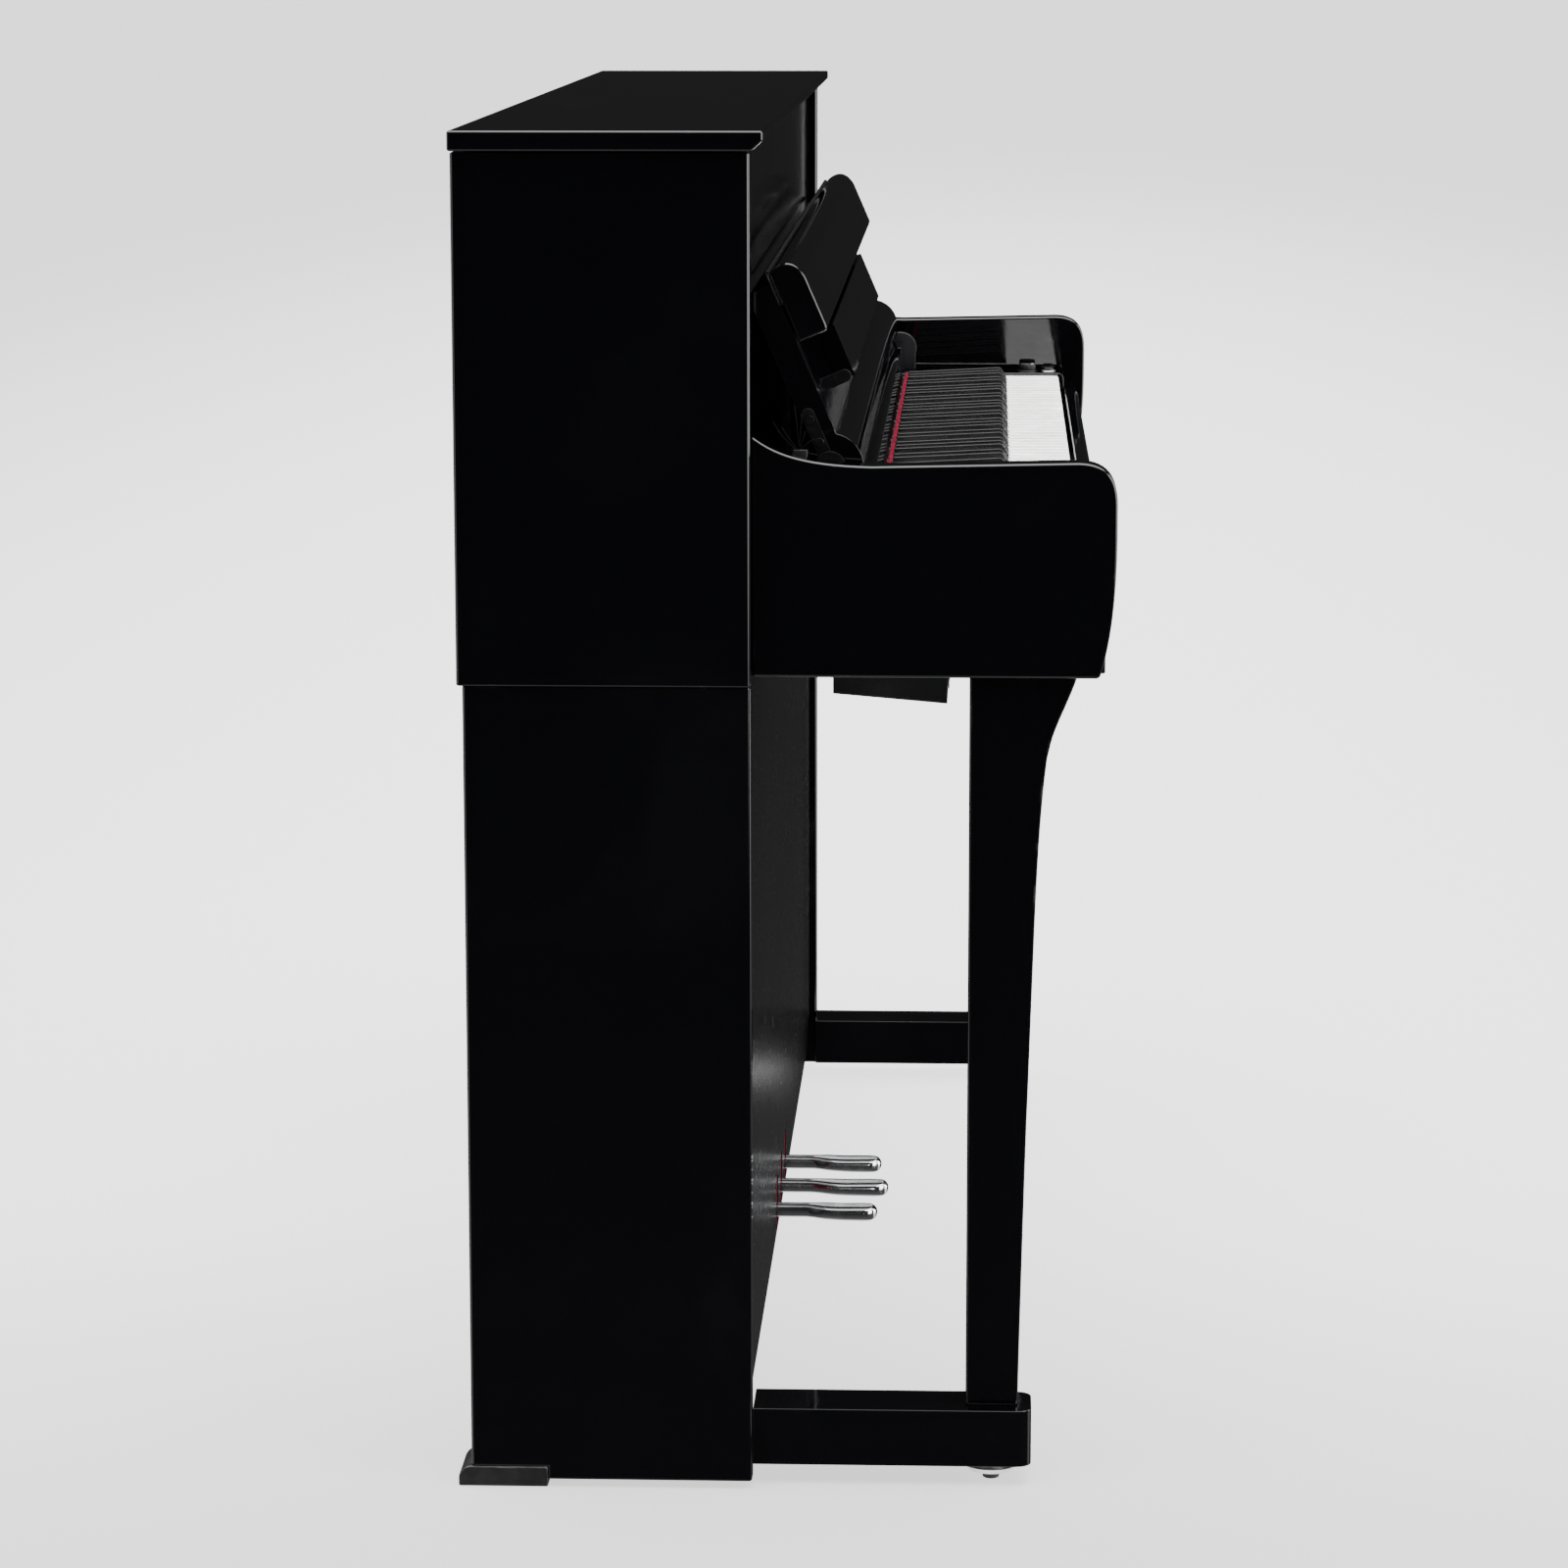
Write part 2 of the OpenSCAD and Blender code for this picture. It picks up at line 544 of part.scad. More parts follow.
upper_side_left();
upper_side_right();
lower_side_left();
lower_side_right();
arm_left();
arm_right();
legs();
toe_blocks();
rear_feet();
adjuster_feet();
upper_front_panel();
lower_front_panel();
upper_back_panel();
lower_back_panel();
bottom_board();
inner_board();
keybed();
key_slip();
key_block_left();
key_block_right();
cheek_caps();
name_board();
name_board_felt();
lid();
lid_hinges();
lid_hinge_straps();
fallboard_panel();
fallboard_rail();
fallboard_lip();
lip_hinge();
lip_hinge_leaf();
music_ledge();
fallboard_fittings();
fallboard_pivots();
keys_c();
keys_d();
keys_e();
keys_f();
keys_g();
keys_a();
keys_b();
black_keys_twos();
black_keys_threes();
pedal_soft();
pedal_sostenuto();
pedal_damper();
pedal_frame();
pedal_felts();
key_frame();
key_sensor_board();
main_board();
power_supply();
woofers();
speaker_grilles();
headphone_box();
ac_inlet();
volume_knob();
power_button();
power_lamp();
panel_screws();
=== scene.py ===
import json
import math
import random

import bmesh
import bpy
from mathutils import Matrix, Vector


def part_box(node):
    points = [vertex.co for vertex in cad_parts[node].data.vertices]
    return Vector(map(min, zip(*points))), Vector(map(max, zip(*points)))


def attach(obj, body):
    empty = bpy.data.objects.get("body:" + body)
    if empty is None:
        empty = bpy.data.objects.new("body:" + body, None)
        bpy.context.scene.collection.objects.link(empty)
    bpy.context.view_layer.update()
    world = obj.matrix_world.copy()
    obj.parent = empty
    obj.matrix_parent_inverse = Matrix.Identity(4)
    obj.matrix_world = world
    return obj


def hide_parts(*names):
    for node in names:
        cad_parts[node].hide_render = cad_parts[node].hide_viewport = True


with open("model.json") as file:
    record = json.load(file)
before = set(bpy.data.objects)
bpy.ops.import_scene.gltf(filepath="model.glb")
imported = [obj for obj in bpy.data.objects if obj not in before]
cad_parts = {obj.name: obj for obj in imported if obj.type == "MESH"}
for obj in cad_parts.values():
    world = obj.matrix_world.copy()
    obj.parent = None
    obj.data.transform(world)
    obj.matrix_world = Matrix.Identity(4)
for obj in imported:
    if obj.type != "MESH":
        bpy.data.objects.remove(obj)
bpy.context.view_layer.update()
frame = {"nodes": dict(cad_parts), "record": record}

NODES = frame["nodes"]
RECORD = frame["record"]
BODY = {n: b for b, ns in RECORD["behaviour"]["bodies"].items() for n in ns}
SLOT = {s["node"]: s["material_slot"] for s in RECORD["subparts"]}
COLL = bpy.context.scene.collection
MM = 0.001
rnd = random.Random(7)


# ---------------------------------------------------------------- materials
class Mat:
    """A Principled material with short calls for the nodes that feed it."""

    def __init__(self, name, **sockets):
        self.m = bpy.data.materials.new(name)
        self.m.use_nodes = True
        self.t = self.m.node_tree
        self.t.nodes.clear()
        self.out = self.new("ShaderNodeOutputMaterial")
        self.b = self.new("ShaderNodeBsdfPrincipled")
        self.link(self.b.outputs[0], self.out.inputs[0])
        self.co = self.new("ShaderNodeTexCoord").outputs["Object"]
        for k, v in sockets.items():
            self.b.inputs[k.replace("_", " ")].default_value = v
        self.normal = None

    def new(self, kind, **props):
        n = self.t.nodes.new(kind)
        for k, v in props.items():
            setattr(n, k, v)
        return n

    def link(self, a, b):
        self.t.links.new(a, b)

    def put(self, sock, v):
        if isinstance(v, bpy.types.NodeSocket):
            self.link(v, sock)
        else:
            sock.default_value = v

    def scaled(self, sx, sy, sz, rot=(0, 0, 0), vec=None):
        n = self.new("ShaderNodeMapping")
        self.link(vec or self.co, n.inputs["Vector"])
        n.inputs["Scale"].default_value = (sx, sy, sz)
        n.inputs["Rotation"].default_value = rot
        return n.outputs[0]

    def noise(self, scale, detail=3.0, rough=0.55, vec=None, warp=0.0):
        n = self.new("ShaderNodeTexNoise")
        self.link(vec or self.co, n.inputs["Vector"])
        n.inputs["Scale"].default_value = scale
        n.inputs["Detail"].default_value = detail
        n.inputs["Roughness"].default_value = rough
        n.inputs["Distortion"].default_value = warp
        return n.outputs["Fac"]

    def cells(self, scale, feature="F1", vec=None, out="Distance", rand=1.0):
        n = self.new("ShaderNodeTexVoronoi", feature=feature)
        self.link(vec or self.co, n.inputs["Vector"])
        n.inputs["Scale"].default_value = scale
        n.inputs["Randomness"].default_value = rand
        return n.outputs[out]

    def wave(self, scale, direction="X", warp=0.0, vec=None, profile="SIN"):
        n = self.new("ShaderNodeTexWave", wave_type="BANDS", bands_direction=direction, wave_profile=profile)
        self.link(vec or self.co, n.inputs["Vector"])
        n.inputs["Scale"].default_value = scale
        n.inputs["Distortion"].default_value = warp
        return n.outputs["Fac"]

    def fit(self, v, lo, hi, a=0.0, b=1.0, smooth=True):
        n = self.new("ShaderNodeMapRange", interpolation_type="SMOOTHSTEP" if smooth else "LINEAR")
        self.link(v, n.inputs["Value"])
        for k, x in (("From Min", lo), ("From Max", hi), ("To Min", a), ("To Max", b)):
            n.inputs[k].default_value = x
        return n.outputs["Result"]

    def math(self, op, a, b=0.0, clamp=False):
        n = self.new("ShaderNodeMath", operation=op, use_clamp=clamp)
        self.put(n.inputs[0], a)
        self.put(n.inputs[1], b)
        return n.outputs[0]

    def mix(self, f, a, b):
        n = self.new("ShaderNodeMix", data_type="RGBA")
        self.put(n.inputs[0], f)
        self.put(n.inputs[6], a if isinstance(a, bpy.types.NodeSocket) else (*a, 1.0))
        self.put(n.inputs[7], b if isinstance(b, bpy.types.NodeSocket) else (*b, 1.0))
        return n.outputs[2]

    def axis(self, k, vec=None):
        n = self.new("ShaderNodeSeparateXYZ")
        self.link(vec or self.co, n.inputs[0])
        return n.outputs[k]

    def edge(self):
        return self.new("ShaderNodeAttribute", attribute_name="edge").outputs["Fac"]

    def bump(self, h, strength, dist):
        n = self.new("ShaderNodeBump")
        n.inputs["Strength"].default_value = strength
        n.inputs["Distance"].default_value = dist
        self.link(h, n.inputs["Height"])
        if self.normal is not None:
            self.link(self.normal, n.inputs["Normal"])
        self.normal = n.outputs[0]

    def done(self, color=None, rough=None):
        if color is not None:
            self.put(self.b.inputs["Base Color"], color)
        if rough is not None:
            self.put(self.b.inputs["Roughness"], rough)
        if self.normal is not None:
            self.link(self.normal, self.b.inputs["Normal"])
        return self.m


def scratches(m, scale, stretch, rot, keep):
    v = m.scaled(1.0, stretch, 1.0, rot)
    return m.fit(m.noise(scale, 1.0, 0.4, v), keep, keep + 0.05)


def polished_black(name="polished_black", haze=0.0):
    m = Mat(name, IOR=1.52)
    smudge = m.fit(m.noise(5.5, 4.0, 0.6, None, 0.6), 0.52, 0.72)
    fine = m.noise(90.0, 3.0)
    wear = m.math("MULTIPLY", m.edge(), m.fit(m.noise(38.0, 5.0, 0.7), 0.56, 0.66))
    dust = m.fit(m.cells(900.0, "F1"), 0.0, 0.16, 1.0, 0.0)
    dust = m.math("MULTIPLY", dust, m.fit(m.noise(14.0, 2.0), 0.56, 0.7, 0.0, 0.15 if haze else 0.5))
    col = m.mix(m.math("MULTIPLY", smudge, 0.15 if haze else 1.0), (0.0011, 0.0011, 0.0016), (0.0019, 0.0019, 0.0024))
    col = m.mix(wear, col, (0.006, 0.0056, 0.0054))
    col = m.mix(dust, col, (0.010, 0.010, 0.010))
    if haze:
        smudge = m.math("MULTIPLY", smudge, 0.15)
    r = m.math("ADD", m.fit(fine, 0.3, 0.7, 0.022, 0.045), m.math("MULTIPLY", smudge, 0.05))
    hair = m.math("ADD", scratches(m, 46.0, 0.03, (0.3, 0.9, 0.2), 0.70), scratches(m, 60.0, 0.03, (1.2, 0.1, 1.1), 0.71), True)
    r = m.math("ADD", r, m.math("MULTIPLY", hair, 0.03 if haze else 0.10))
    r = m.math("ADD", r, m.math("MULTIPLY", wear, 0.22), True)
    if haze:
        r = m.math("ADD", r, m.fit(m.noise(11.0, 3.0, 0.6), 0.3, 0.7, haze * 0.96, haze * 1.04), True)
    m.bump(m.noise(26.0, 2.0, 0.4), 0.015 if haze else 0.12, 0.0006)
    m.bump(m.noise(240.0, 2.0, 0.5), 0.01 if haze else 0.10, 0.00006)
    return m.done(col, r)


def satin_black():
    m = Mat("satin_black", IOR=1.5)
    n = m.noise(7.0, 4.0)
    wear = m.math("MULTIPLY", m.edge(), m.fit(m.noise(45.0, 5.0, 0.7), 0.5, 0.62))
    col = m.mix(m.fit(n, 0.35, 0.7), (0.0045, 0.0045, 0.005), (0.0075, 0.0075, 0.008))
    col = m.mix(wear, col, (0.022, 0.020, 0.018))
    r = m.math("ADD", m.fit(m.noise(120.0, 3.0), 0.3, 0.7, 0.42, 0.56), m.math("MULTIPLY", wear, 0.15))
    m.bump(m.noise(420.0, 3.0, 0.6), 0.25, 0.00012)
    m.bump(m.noise(18.0, 3.0, 0.5, m.scaled(1.0, 6.0, 1.0)), 0.08, 0.0004)
    return m.done(col, r)


def white_key():
    m = Mat("white_key", IOR=1.49)
    n = m.noise(9.0, 4.0, 0.6)
    # Key sides darker towards the bottom, down in the gaps between the keys: painted shade.
    gap_shade = m.fit(m.axis(2), 0.7065, 0.722, 1.0, 0.0)
    touch = m.fit(m.noise(30.0, 4.0, 0.65, None, 0.4), 0.5, 0.72)
    col = m.mix(m.fit(n, 0.35, 0.7), (0.87, 0.87, 0.855), (0.845, 0.845, 0.83))
    col = m.mix(m.math("MULTIPLY", gap_shade, 0.35), col, (0.50, 0.48, 0.44))
    # Behind Y −76 mm, under the felt and behind the black keys, the key tops are painted near-black and rougher:
    # painted shade.
    shade_behind_felt = m.fit(m.axis(1), -0.0768, -0.0752)
    col = m.mix(shade_behind_felt, col, (0.010, 0.009, 0.009))
    r = m.math("ADD", m.fit(m.noise(70.0, 3.0), 0.3, 0.7, 0.15, 0.21), m.math("MULTIPLY", touch, 0.08))
    r = m.math("ADD", r, m.math("MULTIPLY", shade_behind_felt, 0.5))
    m.bump(m.noise(300.0, 3.0, 0.6, m.scaled(1.0, 0.25, 1.0)), 0.08, 0.00004)
    m.bump(m.noise(40.0, 2.0), 0.04, 0.0001)
    return m.done(col, r)


def black_key():
    m = Mat("black_key", IOR=1.5, Specular_IOR_Level=0.22)
    grain = m.noise(380.0, 5.0, 0.65, m.scaled(1.0, 0.045, 1.0), 0.25)
    worn = m.math("MULTIPLY", m.edge(), m.fit(m.noise(60.0, 4.0, 0.6), 0.46, 0.66))
    col = m.mix(m.fit(grain, 0.35, 0.7), (0.0024, 0.0024, 0.0025), (0.0048, 0.0047, 0.0047))
    col = m.mix(m.math("MULTIPLY", worn, 0.5), col, (0.010, 0.0098, 0.0095))
    r = m.math("SUBTRACT", m.fit(grain, 0.3, 0.7, 0.26, 0.38), m.math("MULTIPLY", worn, 0.06))
    m.bump(grain, 0.35, 0.0001)
    return m.done(col, r)


def red_felt():
    m = Mat("red_felt", Sheen_Weight=0.08, Sheen_Roughness=0.5, IOR=1.4, Specular_IOR_Level=0.06)
    m.b.inputs["Sheen Tint"].default_value = (0.9, 0.12, 0.22, 1.0)
    fibre = m.noise(1400.0, 5.0, 0.75, None, 1.4)
    lump = m.noise(120.0, 3.0)
    col = m.mix(m.fit(fibre, 0.3, 0.7), (0.05, 0.0008, 0.006), (0.095, 0.003, 0.014))
    col = m.mix(m.fit(lump, 0.45, 0.75, 0.0, 0.35), col, (0.065, 0.002, 0.009))
    m.bump(fibre, 0.9, 0.0005)
    m.bump(lump, 0.4, 0.0008)
    return m.done(col, m.fit(lump, 0.3, 0.7, 0.86, 0.98))


def steel():
    m = Mat("steel", Metallic=1.0)
    brush = m.noise(900.0, 4.0, 0.7, m.scaled(0.02, 1.0, 1.0))
    stain = m.noise(24.0, 4.0, 0.6)
    col = m.mix(m.fit(brush, 0.3, 0.7), (0.44, 0.44, 0.45), (0.60, 0.60, 0.61))
    col = m.mix(m.fit(stain, 0.58, 0.75, 0.0, 0.5), col, (0.30, 0.28, 0.26))
    r = m.math("ADD", m.fit(brush, 0.3, 0.7, 0.26, 0.40), m.fit(stain, 0.5, 0.8, 0.0, 0.15))
    m.bump(brush, 0.3, 0.00006)
    return m.done(col, r)


def chrome():
    m = Mat("chrome", Metallic=1.0)
    smudge = m.fit(m.noise(26.0, 4.0, 0.65, None, 0.8), 0.48, 0.72)
    rub = m.math("ADD", scratches(m, 260.0, 0.02, (0.0, 0.0, 0.05), 0.66), scratches(m, 300.0, 0.03, (0.0, 0.0, 0.5), 0.70), True)
    col = m.mix(smudge, (0.80, 0.81, 0.83), (0.70, 0.70, 0.71))
    r = m.math("ADD", m.fit(m.noise(150.0, 2.0), 0.3, 0.7, 0.11, 0.16), m.math("MULTIPLY", smudge, 0.10))
    r = m.math("ADD", r, m.math("MULTIPLY", rub, 0.12), True)
    m.bump(rub, 0.15, 0.00003)
    m.bump(m.noise(60.0, 2.0), 0.05, 0.0002)
    return m.done(col, r)


def nickel():
    m = Mat("nickel", Metallic=0.85, IOR=1.5)
    turned = m.noise(700.0, 3.0, 0.6, m.scaled(1.0, 1.0, 0.1))
    spot = m.fit(m.noise(60.0, 4.0, 0.6), 0.55, 0.7)
    col = m.mix(m.fit(turned, 0.3, 0.7), (0.80, 0.80, 0.80), (0.90, 0.90, 0.90))
    col = m.mix(m.math("MULTIPLY", spot, 0.4), col, (0.55, 0.54, 0.52))
    m.bump(turned, 0.2, 0.00004)
    return m.done(col, m.fit(turned, 0.3, 0.7, 0.34, 0.46))


def grained(name, base, lift, rough, scale=700.0, depth=0.00012):
    """Moulded plastic with a fine leather grain."""
    m = Mat(name, IOR=1.5, Specular_IOR_Level=0.35)
    g = m.cells(scale, "DISTANCE_TO_EDGE")
    n = m.noise(12.0, 3.0)
    worn = m.math("MULTIPLY", m.edge(), m.fit(m.noise(90.0, 3.0), 0.45, 0.65))
    col = m.mix(m.fit(n, 0.35, 0.7), base, lift)
    col = m.mix(m.math("MULTIPLY", worn, 0.4), col, tuple(min(1.0, c * 2.2 + 0.01) for c in lift))
    m.bump(m.fit(g, 0.0, 0.22), 0.45, depth)
    m.bump(m.noise(scale * 2.0, 2.0), 0.2, depth * 0.5)
    return m.done(col, m.fit(n, 0.3, 0.7, rough - 0.05, rough + 0.07))


def circuit_board():
    m = Mat("circuit_board", IOR=1.5)
    tracks = m.cells(130.0, "DISTANCE_TO_EDGE", m.scaled(1.0, 1.0, 1.0), rand=0.25)
    line = m.fit(tracks, 0.03, 0.05, 1.0, 0.0)
    pads = m.fit(m.cells(260.0, "F1", rand=0.1), 0.14, 0.18, 1.0, 0.0)
    col = m.mix(line, (0.006, 0.075, 0.032), (0.012, 0.13, 0.055))
    col = m.mix(pads, col, (0.45, 0.42, 0.32))
    up = m.math("GREATER_THAN", m.axis(2), 0.67385)
    low = m.math("LESS_THAN", m.axis(2), 0.69)
    dome = m.math("MULTIPLY", up, low)
    chip = m.math("MULTIPLY", m.math("LESS_THAN", m.axis(1), 0.2178), m.math("GREATER_THAN", m.axis(1), 0.1))
    part = m.math("ADD", dome, chip, True)
    speck = m.noise(600.0, 2.0)
    col = m.mix(part, col, m.mix(speck, (0.02, 0.02, 0.022), (0.05, 0.05, 0.052)))
    m.bump(line, 0.4, 0.00004)
    m.bump(speck, 0.2, 0.00004)
    return m.done(col, m.fit(speck, 0.3, 0.7, 0.28, 0.45))


def power_case():
    m = Mat("power_case", Metallic=1.0)
    sp = m.cells(55.0, "F1", None, "Color")
    bw = m.new("ShaderNodeRGBToBW")
    m.link(sp, bw.inputs[0])
    f = bw.outputs[0]
    col = m.mix(f, (0.46, 0.47, 0.48), (0.64, 0.65, 0.66))
    m.bump(m.noise(300.0, 3.0), 0.2, 0.00006)
    return m.done(col, m.fit(f, 0.1, 0.9, 0.28, 0.46, False))


def speaker():
    m = Mat("speaker", IOR=1.45)
    x = m.math("SUBTRACT", m.math("ABSOLUTE", m.axis(0)), 0.38)
    z = m.math("SUBTRACT", m.axis(2), 0.36)
    r = m.math("SQRT", m.math("ADD", m.math("MULTIPLY", x, x), m.math("MULTIPLY", z, z)))
    rim = m.fit(r, 0.0595, 0.0605)
    cap = m.fit(r, 0.0195, 0.0205, 1.0, 0.0)
    fibre = m.noise(700.0, 5.0, 0.7, None, 2.0)
    col = m.mix(m.fit(fibre, 0.35, 0.65), (0.018, 0.017, 0.016), (0.05, 0.047, 0.043))
    col = m.mix(rim, col, (0.012, 0.012, 0.012))
    col = m.mix(cap, col, (0.02, 0.02, 0.021))
    m.bump(fibre, 0.5, 0.0002)
    return m.done(col, m.fit(fibre, 0.3, 0.7, 0.5, 0.85))


def grille():
    m = Mat("grille", Specular_IOR_Level=0.2, Sheen_Weight=0.02, Sheen_Roughness=0.6, IOR=1.45)
    a = m.wave(420.0, "X")
    b = m.wave(420.0, "Z")
    over = m.math("MAXIMUM", m.math("MULTIPLY", a, 1.0), m.math("MULTIPLY", b, 0.85))
    hole = m.math("MULTIPLY", m.fit(a, 0.25, 0.05), m.fit(b, 0.25, 0.05))
    fuzz = m.noise(1500.0, 3.0, 0.7)
    col = m.mix(over, (0.001, 0.001, 0.001), (0.006, 0.006, 0.0062))
    col = m.mix(m.math("MULTIPLY", fuzz, 0.3), col, (0.012, 0.012, 0.012))
    col = m.mix(hole, col, (0.001, 0.001, 0.001))
    m.bump(over, 0.8, 0.0004)
    m.bump(fuzz, 0.3, 0.0001)
    return m.done(col, m.fit(fuzz, 0.3, 0.7, 0.75, 0.95))


def lamp():
    m = Mat("lamp", IOR=1.49, Transmission_Weight=0.0, Subsurface_Weight=0.3)
    m.b.inputs["Subsurface Scale"].default_value = 0.002
    n = m.noise(500.0, 3.0)
    m.bump(n, 0.1, 0.00005)
    return m.done(m.mix(n, (0.88, 0.88, 0.85), (0.78, 0.78, 0.76)), m.fit(n, 0.3, 0.7, 0.18, 0.3))


def frame_steel():
    m = Mat("frame_steel", IOR=1.5)
    peel = m.noise(160.0, 2.0)
    chip = m.math("MULTIPLY", m.edge(), m.fit(m.noise(55.0, 5.0, 0.7), 0.54, 0.6))
    col = m.mix(peel, (0.055, 0.056, 0.06), (0.075, 0.076, 0.082))
    col = m.mix(chip, col, (0.32, 0.31, 0.30))
    m.bump(peel, 0.3, 0.0001)
    return m.done(col, m.fit(peel, 0.3, 0.7, 0.34, 0.5))


def black_steel():
    m = Mat("black_steel", IOR=1.5, Specular_IOR_Level=0.3)
    peel = m.noise(220.0, 2.0)
    rub = m.math("MULTIPLY", m.edge(), m.fit(m.noise(80.0, 4.0, 0.7), 0.50, 0.60))
    col = m.mix(peel, (0.0022, 0.0022, 0.0026), (0.0042, 0.0042, 0.0048))
    col = m.mix(rub, col, (0.05, 0.049, 0.047))
    m.bump(peel, 0.25, 0.00008)
    return m.done(col, m.fit(peel, 0.3, 0.7, 0.30, 0.42))


def rubber():
    m = Mat("rubber", IOR=1.45)
    n = m.noise(500.0, 4.0, 0.6)
    m.bump(n, 0.4, 0.0001)
    return m.done(m.mix(n, (0.008, 0.008, 0.008), (0.02, 0.02, 0.02)), m.fit(n, 0.3, 0.7, 0.62, 0.85))


MAT = {
    "polished_black": polished_black(), "hazy_black": polished_black("hazy_black", 0.22), "soft_black": polished_black("soft_black", 0.04),
    "satin_black": satin_black(), "white_key": white_key(),
    "black_key": black_key(), "red_felt": red_felt(), "steel": steel(), "chrome": chrome(), "nickel": nickel(),
    "grey_cap": grained("grey_cap", (0.0035, 0.0035, 0.0048), (0.006, 0.006, 0.0075), 0.44, 500.0),
    "circuit_board": circuit_board(), "power_case": power_case(), "speaker": speaker(),
    "grille": grille(), "dark_plastic": grained("dark_plastic", (0.005, 0.005, 0.0055), (0.008, 0.008, 0.0088), 0.46),
    "lamp": lamp(), "frame_steel": frame_steel(), "black_steel": black_steel(), "rubber": rubber(),
}


# ---------------------------------------------------------------- mesh helpers
def place(name, me, slot, body, nodes=(), mat=None):
    ob = bpy.data.objects.new(name, me)
    COLL.objects.link(ob)
    if not me.materials:
        me.materials.append(MAT[mat or slot])
    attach(ob, body)
    if nodes:
        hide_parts(*nodes)
    return ob


def finish_mesh(name, bm, slot, body, nodes=(), mat=None, smooth=True, keep_flat=None):
    bmesh.ops.recalc_face_normals(bm, faces=bm.faces)
    me = bpy.data.meshes.new(name)
    bm.to_mesh(me)
    bm.free()
    for p in me.polygons:
        p.use_smooth = smooth
    if smooth and keep_flat:
        me.set_sharp_from_angle(angle=math.radians(keep_flat))
    if "edge" not in me.attributes:
        me.attributes.new("edge", "FLOAT", "FACE")
    return place(name, me, slot, body, nodes, mat)


def rounded(name, bm, width, seg, angle, mats, clamp=True):
    """The mesh with its sharp edges rounded, its flats shaded flat, and its edge strips marked for wear."""
    me = bpy.data.meshes.new(name)
    bm.to_mesh(me)
    bm.free()
    for k in range(2):
        me.materials.append(mats)
    for p in me.polygons:
        p.use_smooth = True
    ob = bpy.data.objects.new(name + "_work", me)
    COLL.objects.link(ob)
    b = ob.modifiers.new("round", "BEVEL")
    b.width = width
    b.segments = seg
    b.limit_method = "ANGLE"
    b.angle_limit = math.radians(angle)
    b.material = 1
    b.use_clamp_overlap = clamp
    w = ob.modifiers.new("normals", "WEIGHTED_NORMAL")
    w.mode = "FACE_AREA"
    w.weight = 50
    dg = bpy.context.evaluated_depsgraph_get()
    out = bpy.data.meshes.new_from_object(ob.evaluated_get(dg), preserve_all_data_layers=True, depsgraph=dg)
    bpy.data.objects.remove(ob)
    bpy.data.meshes.remove(me)
    out.name = name
    mark = out.attributes.new("edge", "FLOAT", "FACE")
    idx = [0] * len(out.polygons)
    out.polygons.foreach_get("material_index", idx)
    mark.data.foreach_set("value", [float(i) for i in idx])
    out.polygons.foreach_set("material_index", [0] * len(idx))
    out.materials.clear()
    out.materials.append(mats)
    return out


def solid_of(node):
    """The node's surface as one clean bmesh: seams welded, coplanar triangles merged."""
    src = NODES[node].data
    bm = bmesh.new()
    vs = [bm.verts.new(v.co) for v in src.vertices]
    for p in src.polygons:
        bm.faces.new([vs[i] for i in p.vertices])
    bmesh.ops.remove_doubles(bm, verts=bm.verts, dist=4e-6)
    bmesh.ops.dissolve_limit(bm, angle_limit=math.radians(0.12), use_dissolve_boundaries=False,
                             verts=bm.verts, edges=bm.edges)
    return bm


def refine(node, width, seg=3, angle=28.0, shape=None, mat=None, clamp=True):
    bm = solid_of(node)
    if shape:
        shape(bm)
    me = rounded(node + "_piece", bm, width * MM, seg, angle, MAT[mat or SLOT[node]], clamp)
    return place(node + "_piece", me, SLOT[node], BODY[node], [node])


def basis(center, axis, spin=0.0):
    z = Vector(axis).normalized()
    q = Vector((0, 0, 1)).rotation_difference(z)
    return Matrix.Translation(Vector(center) * MM) @ q.to_matrix().to_4x4() @ Matrix.Rotation(spin, 4, "Z")


def lathe(bm, prof, steps, mat4, rfun=None, zfun=None):
    """Turns a profile of (radius, height) in millimetres about the frame's own Z; radius 0 closes an end."""
    rings = []
    for r, z in prof:
        if r <= 1e-6:
            zz = z if zfun is None else zfun(0.0, 0.0, z)
            rings.append([bm.verts.new(mat4 @ Vector((0, 0, zz * MM)))])
            continue
        ring = []
        for i in range(steps):
            a = 2 * math.pi * i / steps
            rr = r if rfun is None else rfun(r, z, a)
            zz = z if zfun is None else zfun(rr, a, z)
            ring.append(bm.verts.new(mat4 @ Vector((rr * math.cos(a) * MM, rr * math.sin(a) * MM, zz * MM))))
        rings.append(ring)
    for u, v in zip(rings, rings[1:]):
        for i in range(steps):
            j = (i + 1) % steps
            if len(u) == 1 and len(v) == 1:
                continue
            if len(u) == 1:
                bm.faces.new((u[0], v[i], v[j]))
            elif len(v) == 1:
                bm.faces.new((u[i], v[0], u[j]))
            else:
                bm.faces.new((u[i], v[i], v[j], u[j]))
    return rings


def loft(bm, loops, cap=True):
    rows = [[bm.verts.new(Vector(p) * MM) for p in lp] for lp in loops]
    n = len(rows[0])
    for u, v in zip(rows, rows[1:]):
        for i in range(n):
            j = (i + 1) % n
            bm.faces.new((u[i], u[j], v[j], v[i]))
    if cap:
        bm.faces.new(list(reversed(rows[0])))
        bm.faces.new(rows[-1])


